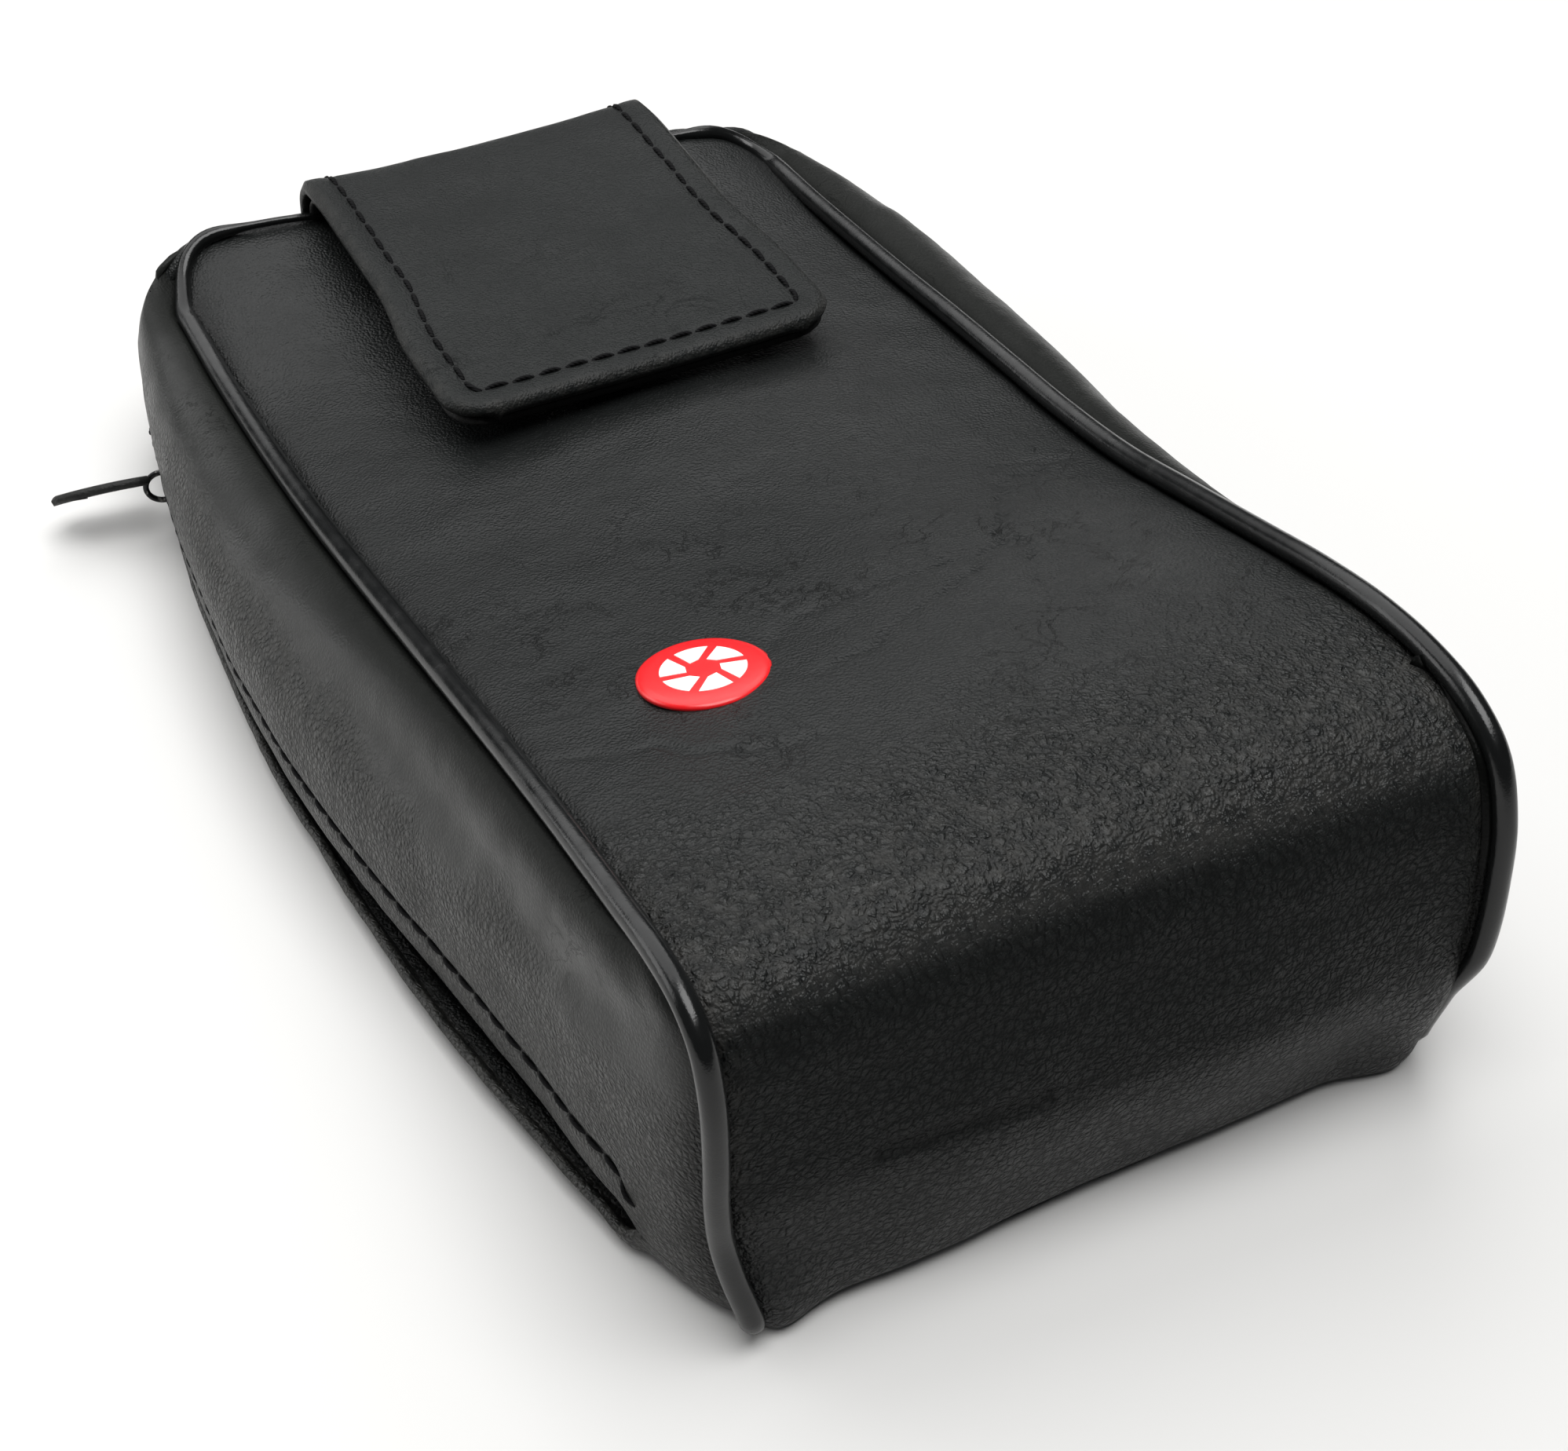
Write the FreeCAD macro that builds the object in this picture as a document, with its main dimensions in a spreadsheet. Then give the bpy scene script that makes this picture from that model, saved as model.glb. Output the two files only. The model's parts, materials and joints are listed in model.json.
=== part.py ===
"""Leather ever ready case: a soft upright pouch for a compact camera, lying on its back.

Frame, in millimetres: the origin is the centre of the flat back face. +Z points out through
the front panel, +Y towards the mouth and the flap, and +X to the right of the front panel.
"""
import FreeCAD, Part
import math
import os
import Sketcher

DIMENSIONS = [
    # the outside of the pouch
    ("case_length", 150.0, "base face to mouth, along Y"),
    ("panel_half", 37.5, "half width of the front panel, seam to seam"),
    ("half_width", 51.5, "half width over the widest point of the gussets"),
    ("widest_height", 12.0, "height of the gusset's widest line above the back face"),
    ("bow_radius", 280.0, "radius of the gusset's widest line, seen from the front"),
    ("bow_centre", 12.0, "Y of the middle of that bow"),
    ("foot_inset", 3.0, "how far the back face's edge lies inside the widest line"),
    ("mouth_height", 22.0, "front panel's height at the mouth"),
    ("throat_height", 22.5, "front panel's height under the flap"),
    ("throat_y", 50.0, "Y of that height"),
    ("shoulder_height", 26.0, "front panel's height below the flap's tip"),
    ("shoulder_y", 25.0, "Y of that height"),
    ("waist_height", 29.0, "front panel's height half way along"),
    ("waist_y", 5.0, "Y of that height"),
    ("chest_height", 32.8, "front panel's height above the badge"),
    ("chest_y", -15.0, "Y of that height"),
    ("belly_height", 38.8, "front panel's height below the badge"),
    ("belly_y", -46.0, "Y of that height"),
    ("base_height", 41.5, "front panel's height where it turns down into the base"),
    ("base_radius", 10.0, "outside radius of that turn"),
    ("back_trim", 0.2, "how far the raw form runs below the flat back face"),
    # layers of the wall
    ("leather", 1.4, "shell leather"),
    ("padding", 1.8, "foam under the leather"),
    ("lining", 0.6, "cloth lining"),
    ("side_layers_from", 14.4, "height where the gussets' padding and lining begin"),
    ("layer_inset", 2.2, "edge of the panel's padding and lining inside its seams"),
    ("base_layer_depth", 15.0, "Y from the base face where its padding and lining end"),
    # the divider between the camera's room and the rear pocket
    ("divider_height", 8.8, "underside of the divider above the back face"),
    ("divider_board", 1.2, "thickness of the divider's board"),
    ("divider_cloth", 0.4, "thickness of its lining, each side"),
    ("divider_inset", 8.5, "divider's edge inside the widest line"),
    ("back_board_half", 32.0, "half width of the back's stiffening board"),
    # piping
    ("piping_radius", 1.2, "outside radius of the piping"),
    ("piping_cord_radius", 0.7, "radius of its filler cord"),
    ("piping_out", 0.8, "piping's axis outside the panel's edge"),
    ("piping_up", 0.7, "piping's axis above the panel's face"),
    ("piping_foot", 1.8, "height of the piping's lower end"),
    ("piping_foot_bend", 14.0, "radius of the piping's bend towards the narrower foot"),
    # the mouth and the flap
    ("rim_depth", 1.2, "thickness of the mouth's binding"),
    ("hinge_roll", 1.2, "radius of the leather fold that the flap turns on"),
    ("flap_width", 43.0, "width of the flap"),
    ("flap_shift", 1.2, "flap's centre from the panel's centre"),
    ("flap_top", 32.0, "height of the flap's outer face"),
    ("hinge_y", 78.4, "Y of the flap's hinge line"),
    ("flap_back", 79.6, "Y of the flap's outer face behind the mouth"),
    ("flap_root", 3.0, "height where the flap's stiff part starts"),
    ("flap_tip", 25.0, "Y of the flap's tip"),
    ("flap_bend", 8.0, "outside radius of the flap's bend"),
    ("flap_corner", 7.0, "radius of the tip's corners"),
    ("flap_leather", 1.3, "outer leather of the flap"),
    ("flap_core", 0.8, "stiffener inside the flap"),
    ("flap_backing", 0.9, "leather lining of the flap"),
    ("stitch_inset", 3.4, "flap's stitching inside its edge"),
    ("thread", 0.5, "width of the thread"),
    ("thread_rise", 0.3, "height of the thread above the leather"),
    ("closure_y", 43.0, "Y of the magnetic closure"),
    ("closure_radius", 7.0, "radius of the closure's discs"),
    ("closure_magnet", 2.0, "thickness of the magnet under the flap"),
    ("closure_gap", 0.4, "gap between the closed discs"),
    ("closure_washer", 5.5, "radius of the closure's washers"),
    ("washer_thick", 0.6, "thickness of the front panel's washer"),
    ("washer_clear", 4.0, "room kept between the divider and the washer"),
    # the badge
    ("badge_x", -18.0, "badge's centre across the panel"),
    ("badge_y", -29.5, "badge's centre along the panel"),
    ("badge_radius", 6.35, "radius of the badge"),
    ("badge_thick", 0.8, "thickness of the badge"),
    ("badge_sunk", 0.4, "how deep the badge sits in the leather"),
    ("emblem_radius", 4.0, "outside radius of the badge's emblem"),
    ("emblem_hole", 1.6, "inside radius of the emblem"),
    ("emblem_thick", 0.15, "thickness of the emblem"),
    # the zip
    ("zip_inset", 5.1, "chain's middle inside the widest line"),
    ("slit_low", 2.2, "lower edge of the slit"),
    ("slit_high", 8.6, "folded hem above the slit"),
    ("slit_top_y", 69.0, "slit's end near the mouth"),
    ("slit_base_y", -61.5, "slit's end near the base"),
    ("slit_inset", 1.0, "middle of the slit's depth inside the widest line"),
    ("slit_depth", 8.0, "depth that the slit is cut to, across the leather"),
    ("hem_facing", 1.4, "thickness of the hem's turned-in leather"),
    ("facing_inset", 1.2, "facing's outer face inside the shell's leather"),
    ("hem_height", 14.0, "top of the hem's facing and of the upper tape"),
    ("thread_gap", 0.05, "thread's underside outside the leather"),
    ("hem_stitch", 12.4, "height of the hem's stitching"),
    ("coil_radius", 0.45, "radius of a coil of teeth"),
    ("coil_low", 2.3, "height of the lower coil"),
    ("coil_high", 8.0, "height of the upper coil"),
    ("coil_inset", 2.5, "coils' ends inside the slit's ends"),
    ("tape", 0.4, "thickness of the tape"),
    ("tape_width", 3.4, "width of the lower tape, which lies on the back leather"),
    ("slider_rest_y", 61.0, "slider's middle when the zip is open"),
    ("slider_end_y", -53.0, "slider's middle when the zip is closed"),
    ("slider_length", 9.0, "slider along the chain"),
    ("slider_low", 2.5, "slider's lower edge"),
    ("slider_high", 8.3, "slider's upper edge"),
    ("slider_plate", 0.6, "thickness of the slider's plates"),
    ("slider_gap", 1.8, "room between the plates"),
    ("slider_post", 2.0, "length and height of the post that joins the plates"),
    ("stop_length", 1.6, "length of the zip's stops"),
    ("stop_inset", 1.5, "stops' middles inside the slit's ends"),
    ("bridge_reach", 3.2, "bridge's bar outside the chain's middle"),
    ("bridge_span", 5.8, "length of the bridge"),
    ("bridge_bar", 0.7, "thickness of the bridge"),
    ("bridge_width", 1.4, "width of the bridge"),
    ("pull_height", 5.4, "height of the bridge and the pull"),
    ("ring_radius", 2.0, "radius of the pull's ring"),
    ("ring_wire", 0.35, "radius of the ring's wire"),
    ("ring_offset", 1.0, "ring's centre outside the bridge's bar"),
    ("tab_start", 2.2, "tab's root outside the bridge's bar"),
    ("tab_length", 10.4, "length of the pull tab"),
    ("tab_width", 6.0, "width of the pull tab"),
    ("tab_thick", 1.5, "thickness of the pull tab"),
    ("tab_tilt", 37.0, "tilt of the tab about its length, in degrees"),
    ("rivet_radius", 1.1, "radius of the rivet near the tab's tip"),
    ("rivet_rise", 0.5, "rivet's height above the tab"),
    ("rivet_back", 2.2, "rivet's centre from the tab's tip"),
]

ROOM = 200.0      # a size larger than the whole case, for cutting blocks
OVERRUN = 2.0     # how far cutting tools run past the mouth

doc = FreeCAD.newDocument("ever_ready_case")
sheet = doc.addObject("Spreadsheet::Sheet", "dims")
for row, (alias, value, note) in enumerate(DIMENSIONS, start=1):
    sheet.set(f"A{row}", alias)
    sheet.set(f"B{row}", str(value))
    sheet.set(f"C{row}", note)
    sheet.setAlias(f"B{row}", alias)
doc.recompute()

X = FreeCAD.Vector(1, 0, 0)
Y = FreeCAD.Vector(0, 1, 0)
Z = FreeCAD.Vector(0, 0, 1)
ORIGIN_POINT = (-1, 1)
V_AXIS = -2
nodes = []


def size(alias):
    """A driving dimension as a number."""
    return float(sheet.get(alias))


def bind(item, **expressions):
    """Tie properties to the sheet; a double underscore in a name stands for a dot."""
    for name, expression in expressions.items():
        item.setExpression(name.replace("__", "."), expression)


def keep(item, label):
    """Give a finished sub-part the name of its node."""
    item.Label = label
    nodes.append(item)
    return item


def cut(name, base, tool):
    result = doc.addObject("Part::Cut", name)
    result.Base = base
    result.Tool = tool
    return result


def common(name, first, second):
    result = doc.addObject("Part::Common", name)
    result.Base = first
    result.Tool = second
    return result


def box(name, length, width, height, x, y, z):
    """A Part::Box whose sizes and corner are expressions."""
    result = doc.addObject("Part::Box", name)
    bind(result, Length=length, Width=width, Height=height,
         Placement__Base__x=x, Placement__Base__y=y, Placement__Base__z=z)
    return result


def cylinder(name, radius, height, x, y, z):
    result = doc.addObject("Part::Cylinder", name)
    bind(result, Radius=radius, Height=height,
         Placement__Base__x=x, Placement__Base__y=y, Placement__Base__z=z)
    return result


# ---------------------------------------------------------------- the pouch's form
# A form is a loft of cross-sections. Each section is a flat back, a flat front and two bowed
# sides. The same form, drawn further in, bounds each layer of the wall.

WIDEST = ("(dims.half_width - dims.bow_radius"
          " + sqrt(dims.bow_radius^2 - ({y} - dims.bow_centre)^2) - {inset})")
TURN_ANGLES = (90, 65, 40, 20, 0)
PANEL_PLACES = ("throat", "shoulder", "waist", "chest", "belly")


def stations(inset, overrun):
    """Expressions for the Y and front height of each section, from the mouth to the base."""
    rows = [(f"dims.case_length / 2 + {overrun}", f"dims.mouth_height - {inset}")]
    for place in PANEL_PLACES:
        rows.append((f"dims.{place}_y", f"dims.{place}_height - {inset}"))
    for angle in TURN_ANGLES:
        y = (f"-dims.case_length / 2 + dims.base_radius"
             f" - (dims.base_radius - {inset}) * cos({angle} deg)")
        height = (f"dims.base_height - dims.base_radius"
                  f" + (dims.base_radius - {inset}) * sin({angle} deg)")
        rows.append((y, height))
    return rows


def evaluate(expression):
    """The value of an expression, for a sketch's first guess."""
    return float(sheet.evalExpression(expression))


def section(name, inset, y, height, trim):
    """A cross-section sketch, drawn in X and Z at one Y; a trimmed one runs below the back."""
    widest = WIDEST.format(y=f"({y})", inset=inset)
    foot = f"({widest} - dims.foot_inset)"
    panel = f"(dims.panel_half - 0.5 * {inset})"
    at_y, top = evaluate(y), evaluate(height)
    low = -size("back_trim") if trim else evaluate(inset)
    side, base, front = evaluate(widest), evaluate(foot), evaluate(panel)
    middle = size("widest_height")

    sketch = doc.addObject("Sketcher::SketchObject", name)
    sketch.Placement = FreeCAD.Placement(Y * at_y, FreeCAD.Rotation(X, 90))
    sketch.setExpression("Placement.Base.y", y)

    def point(across, up):
        return FreeCAD.Vector(across, up, 0)

    back = sketch.addGeometry(Part.LineSegment(point(-base, low), point(base, low)))
    right = sketch.addGeometry(Part.Arc(point(base, low), point(side, middle), point(front, top)))
    panel_line = sketch.addGeometry(Part.LineSegment(point(front, top), point(-front, top)))
    left = sketch.addGeometry(Part.Arc(point(-front, top), point(-side, middle), point(-base, low)))
    right_mark = sketch.addGeometry(Part.Point(point(side, middle)))
    left_mark = sketch.addGeometry(Part.Point(point(-side, middle)))

    # an arc runs anticlockwise, so its start is its lower end on the right and upper on the left
    sketch.addConstraint([
        Sketcher.Constraint("Coincident", back, 2, right, 1),
        Sketcher.Constraint("Coincident", right, 2, panel_line, 1),
        Sketcher.Constraint("Coincident", panel_line, 2, left, 1),
        Sketcher.Constraint("Coincident", left, 2, back, 1),
        Sketcher.Constraint("Symmetric", back, 1, back, 2, V_AXIS),
        Sketcher.Constraint("Symmetric", panel_line, 1, panel_line, 2, V_AXIS),
        Sketcher.Constraint("Symmetric", left_mark, 1, right_mark, 1, V_AXIS),
        Sketcher.Constraint("PointOnObject", right_mark, 1, right),
        Sketcher.Constraint("PointOnObject", left_mark, 1, left),
    ])

    def distance(kind, geometry, end, other, other_end, value, expression):
        index = sketch.addConstraint(
            Sketcher.Constraint(kind, geometry, end, other, other_end, value))
        sketch.setExpression(f"Constraints[{index}]", expression)

    distance("DistanceX", back, 1, back, 2, 2 * base, f"2 * {foot}")
    distance("DistanceX", panel_line, 2, panel_line, 1, 2 * front, f"2 * {panel}")
    distance("DistanceX", left_mark, 1, right_mark, 1, 2 * side, f"2 * {widest}")
    distance("DistanceY", *ORIGIN_POINT, panel_line, 1, top, height)
    distance("DistanceY", *ORIGIN_POINT, right_mark, 1, middle, "dims.widest_height")
    if trim:
        distance("DistanceY", back, 1, *ORIGIN_POINT, -low, "dims.back_trim")
    else:
        distance("DistanceY", *ORIGIN_POINT, back, 1, low, inset)
    return sketch


def form(name, inset, overrun="0", trim=False):
    """The pouch's shape, drawn in by an inset."""
    loft = doc.addObject("Part::Loft", name)
    loft.Sections = [section(f"{name}_section_{number}", inset, y, height, trim)
                     for number, (y, height) in enumerate(stations(inset, overrun))]
    loft.Solid = True
    loft.Ruled = True
    return loft


outer_form = form("outer_form", "0", trim=True)
leather_form = form("leather_form", "dims.leather", str(OVERRUN))
padding_form = form("padding_form", "(dims.leather + dims.padding)", str(2 * OVERRUN))
lining_form = form("lining_form", "(dims.leather + dims.padding + dims.lining)", str(3 * OVERRUN))
doc.recompute()

mouth_cap = box("mouth_cap", str(2 * ROOM), str(ROOM), str(ROOM),
                str(-ROOM), "dims.case_length / 2", str(-ROOM / 2))
leather_wall = cut("leather_wall", outer_form, leather_form)
padding_wall = cut("padding_wall", cut("padding_raw", leather_form, padding_form), mouth_cap)
lining_wall = cut("lining_wall", cut("lining_raw", padding_form, lining_form), mouth_cap)


# ---------------------------------------------------------------- piping
TURN_REACH = 0.45      # share of the shorter run that a rounded corner may take


def rounded_wire(points, radii):
    """Straight runs joined by tangent arcs; a radius of None is as large as the runs allow."""
    edges = []
    start = points[0]
    for before, corner, after, radius in zip(points, points[1:], points[2:], radii):
        inward = (corner - before).normalize()
        outward = (after - corner).normalize()
        half_turn = inward.getAngle(outward) / 2
        if radius is None:
            shorter = min(before.distanceToPoint(corner), corner.distanceToPoint(after))
            radius = TURN_REACH * shorter / math.tan(half_turn)
        reach = radius * math.tan(half_turn)
        first = corner - inward * reach
        last = corner + outward * reach
        inside = (outward - inward).normalize()
        middle = corner + inside * (radius / math.cos(half_turn) - radius)
        edges.append(Part.LineSegment(start, first).toShape())
        edges.append(Part.Arc(first, middle, last).toShape())
        start = last
    edges.append(Part.LineSegment(start, points[-1]).toShape())
    return Part.Wire(edges)


def piping_path(name, side):
    """The piping's centre line: down the panel's edge, round the base, down the base's edge."""
    rise = size("piping_up")
    points = [FreeCAD.Vector(0, size("case_length") / 2, size("mouth_height") + rise)]
    for place in PANEL_PLACES:
        points.append(FreeCAD.Vector(0, size(f"{place}_y"), size(f"{place}_height") + rise))
    base_y = -size("case_length") / 2 - rise
    inwards = -side * size("foot_inset")
    points.append(FreeCAD.Vector(0, base_y, size("base_height") + rise))
    points.append(FreeCAD.Vector(0, base_y, size("widest_height")))
    points.append(FreeCAD.Vector(inwards, base_y, size("piping_foot")))
    path = doc.addObject("Part::Feature", name)
    path.Shape = rounded_wire(points, [None] * len(PANEL_PLACES)
                              + [size("base_radius"), size("piping_foot_bend")])
    path.Placement = FreeCAD.Placement(X * side * (size("panel_half") + size("piping_out")),
                                       FreeCAD.Rotation())
    return path


def piping_solid(name, path, side, radius):
    """A round rod along the piping's path; its seam faces the panel on both sides."""
    ring = doc.addObject("Part::Circle", f"{name}_ring")
    bind(ring, Radius=radius)
    seam_turn = FreeCAD.Rotation(Z, 180 if side > 0 else 0)
    ring.Placement = FreeCAD.Placement(
        FreeCAD.Vector(side * (size("panel_half") + size("piping_out")), size("case_length") / 2,
                       size("mouth_height") + size("piping_up")),
        seam_turn * FreeCAD.Rotation(X, 90))
    rod = doc.addObject("Part::Sweep", name)
    rod.Sections = [ring]
    rod.Spine = (path, [f"Edge{number}" for number in range(1, len(path.Shape.Edges) + 1)])
    rod.Solid = True
    rod.Transition = "Round corner"
    return rod


piping_rods = {}
for word, side in (("left", -1), ("right", 1)):
    path = piping_path(f"{word}_piping_path", side)
    rod = piping_solid(f"{word}_piping_rod", path, side, "dims.piping_radius")
    cord = piping_solid(f"{word}_piping_cord_rod", path, side, "dims.piping_cord_radius")
    piping_rods[word] = rod
    keep(cut(f"{word}_piping_tube", rod, cord), f"{word}_piping_cover")
    keep(cord, f"{word}_piping_cord")

# ---------------------------------------------------------------- the zip's curved track
# The chain follows an arc about a point far to the right of the case, so that the slider
# turns about that point.
TRACK_X = "(dims.bow_radius - dims.half_width)"
TRACK_RADIUS = "(dims.bow_radius - dims.zip_inset)"


def track_angle(y):
    """Turn about the track's centre from +X to the track's point at one Y."""
    return f"(180 deg - asin((({y}) - dims.bow_centre) / {TRACK_RADIUS}))"


def track_wall(name, radius, thick, low, height, top_y, base_y):
    """A strip of a tube about the track's centre, standing on edge."""
    parts = []
    for word, reach in (("outside", f"{radius} + {thick} / 2"), ("inside", f"{radius} - {thick} / 2")):
        disc = doc.addObject("Part::Cylinder", f"{name}_{word}")
        bind(disc, Radius=reach, Height=height, Placement__Base__x=TRACK_X,
             Placement__Base__y="dims.bow_centre", Placement__Base__z=low,
             Angle=f"{track_angle(base_y)} - {track_angle(top_y)}",
             Placement__Rotation__Angle=track_angle(top_y))
        parts.append(disc)
    return cut(name, *parts)


def track_coil(name, height, top_y, base_y):
    """A row of coil teeth as one round strip."""
    coil = doc.addObject("Part::Torus", name)
    bind(coil, Radius1=TRACK_RADIUS, Radius2="dims.coil_radius", Placement__Base__x=TRACK_X,
         Placement__Base__y="dims.bow_centre", Placement__Base__z=height,
         Angle3=f"{track_angle(base_y)} - {track_angle(top_y)}",
         Placement__Rotation__Angle=track_angle(top_y))
    return coil


slit = track_wall("slit", "(dims.bow_radius - dims.slit_inset)", "dims.slit_depth", "dims.slit_low",
                  "dims.slit_high - dims.slit_low", "dims.slit_top_y", "dims.slit_base_y")

# ---------------------------------------------------------------- shell leather
front_block = box("front_block", "2 * dims.panel_half", str(2 * ROOM), str(ROOM),
                  "-dims.panel_half", str(-ROOM), "dims.leather")
back_block = box("back_block", str(2 * ROOM), str(2 * ROOM), "dims.leather", str(-ROOM), str(-ROOM), "0")
side_blocks = {
    "left": box("left_block", str(ROOM), str(2 * ROOM), str(ROOM),
                f"-dims.panel_half - {ROOM}", str(-ROOM), "dims.leather"),
    "right": box("right_block", str(ROOM), str(2 * ROOM), str(ROOM),
                 "dims.panel_half", str(-ROOM), "dims.leather"),
}

# the badge lies square to the panel between the chest and the belly
BADGE_SLOPE = "((dims.belly_height - dims.chest_height) / (dims.chest_y - dims.belly_y))"
BADGE_FACE = f"(dims.chest_height + {BADGE_SLOPE} * (dims.chest_y - dims.badge_y))"


def badge_disc(name, radius, thick, lift):
    """A disc square to the panel at the badge, lifted off the panel's face."""
    disc = doc.addObject("Part::Cylinder", name)
    tilt = math.atan(evaluate(BADGE_SLOPE))
    disc.Placement = FreeCAD.Placement(FreeCAD.Vector(), FreeCAD.Rotation(X, -math.degrees(tilt)))
    bind(disc, Radius=radius, Height=thick, Placement__Base__x="dims.badge_x",
         Placement__Base__y=f"dims.badge_y + ({lift}) * sin(atan({BADGE_SLOPE}))",
         Placement__Base__z=f"{BADGE_FACE} + ({lift}) * cos(atan({BADGE_SLOPE}))",
         Placement__Rotation__Angle=f"-atan({BADGE_SLOPE})")
    return disc


badge = badge_disc("badge", "dims.badge_radius", "dims.badge_thick", "-dims.badge_sunk")
keep(badge, "badge_disc")
emblem_lift = "dims.badge_thick - dims.badge_sunk"
emblem_outside = badge_disc("emblem_outside", "dims.emblem_radius", "dims.emblem_thick", emblem_lift)
emblem_inside = badge_disc("emblem_inside", "dims.emblem_hole", "dims.emblem_thick", emblem_lift)
keep(cut("emblem", emblem_outside, emblem_inside), "badge_emblem")

front_leather = common("front_leather", leather_wall, front_block)
for word, rod in piping_rods.items():
    front_leather = cut(f"front_leather_{word}", front_leather, rod)
keep(cut("front_leather_badge", front_leather, badge), "front_base_leather")
keep(common("back_leather_raw", leather_wall, back_block), "back_leather")
for word, block in side_blocks.items():
    gusset = cut(f"{word}_gusset", common(f"{word}_gusset_raw", leather_wall, block), piping_rods[word])
    if word == "left":
        gusset = cut("left_gusset_slit", gusset, slit)
    keep(gusset, f"{word}_gusset_leather")

# ---------------------------------------------------------------- padding and lining
# The panel's layers stop short of the corner, and the base's stop short of the panel's.
LAYER_HALF = "(dims.panel_half - dims.layer_inset)"
LAYER_LOW = "(dims.divider_height + dims.divider_board + 2 * dims.divider_cloth)"
BASE_LAYERS_TOP = "(dims.base_height - dims.base_radius)"
panel_block = box("panel_block", f"2 * {LAYER_HALF}", str(2 * ROOM), str(ROOM),
                  f"-{LAYER_HALF}", str(-ROOM), BASE_LAYERS_TOP)
throat_block = box("throat_block", f"2 * {LAYER_HALF}",
                   f"{ROOM} + dims.case_length / 2 - dims.base_layer_depth", str(ROOM),
                   f"-{LAYER_HALF}", "-dims.case_length / 2 + dims.base_layer_depth", LAYER_LOW)
panel_room = doc.addObject("Part::Fuse", "panel_room")
panel_room.Base = panel_block
panel_room.Tool = throat_block
base_room = box("base_room", f"2 * {LAYER_HALF}", "dims.base_layer_depth",
                f"{BASE_LAYERS_TOP} - {LAYER_LOW}",
                f"-{LAYER_HALF}", "-dims.case_length / 2", LAYER_LOW)
side_rooms = {
    "left": box("left_room", str(ROOM), f"{ROOM}", str(ROOM),
                f"-{LAYER_HALF} - {ROOM}", "-dims.case_length / 2", "dims.side_layers_from"),
    "right": box("right_room", str(ROOM), f"{ROOM}", str(ROOM),
                 LAYER_HALF, "-dims.case_length / 2", "dims.side_layers_from"),
}

# the closure's plate rests on the panel, with a washer in the padding behind it
closure_block = cylinder(
    "closure_block", "dims.closure_radius",
    f"dims.flap_top - dims.flap_leather - dims.flap_core - dims.flap_backing"
    f" - dims.closure_magnet - dims.closure_gap",
    "dims.flap_shift", "dims.closure_y", "0")
keep(cut("closure_plate_raw", closure_block, outer_form), "closure_plate")
washer_reach = cylinder("washer_reach", "dims.closure_washer", "dims.throat_height",
                        "dims.flap_shift", "dims.closure_y", f"{LAYER_LOW} + dims.washer_clear")
washer_form = form("washer_form", "(dims.leather + dims.washer_thick)", str(OVERRUN))
washer = common("plate_washer_raw", cut("washer_layer", leather_form, washer_form), washer_reach)
keep(washer, "closure_plate_washer")

front_padding = common("front_padding_raw", padding_wall, panel_room)
keep(cut("front_padding_cut", front_padding, washer), "front_padding")
keep(common("front_lining_raw", lining_wall, panel_room), "front_lining")
keep(common("base_padding_raw", padding_wall, base_room), "base_padding")
keep(common("base_lining_raw", lining_wall, base_room), "base_lining")
for word, room in side_rooms.items():
    keep(common(f"{word}_padding_raw", padding_wall, room), f"{word}_gusset_padding")
    keep(common(f"{word}_lining_raw", lining_wall, room), f"{word}_gusset_lining")


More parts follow.
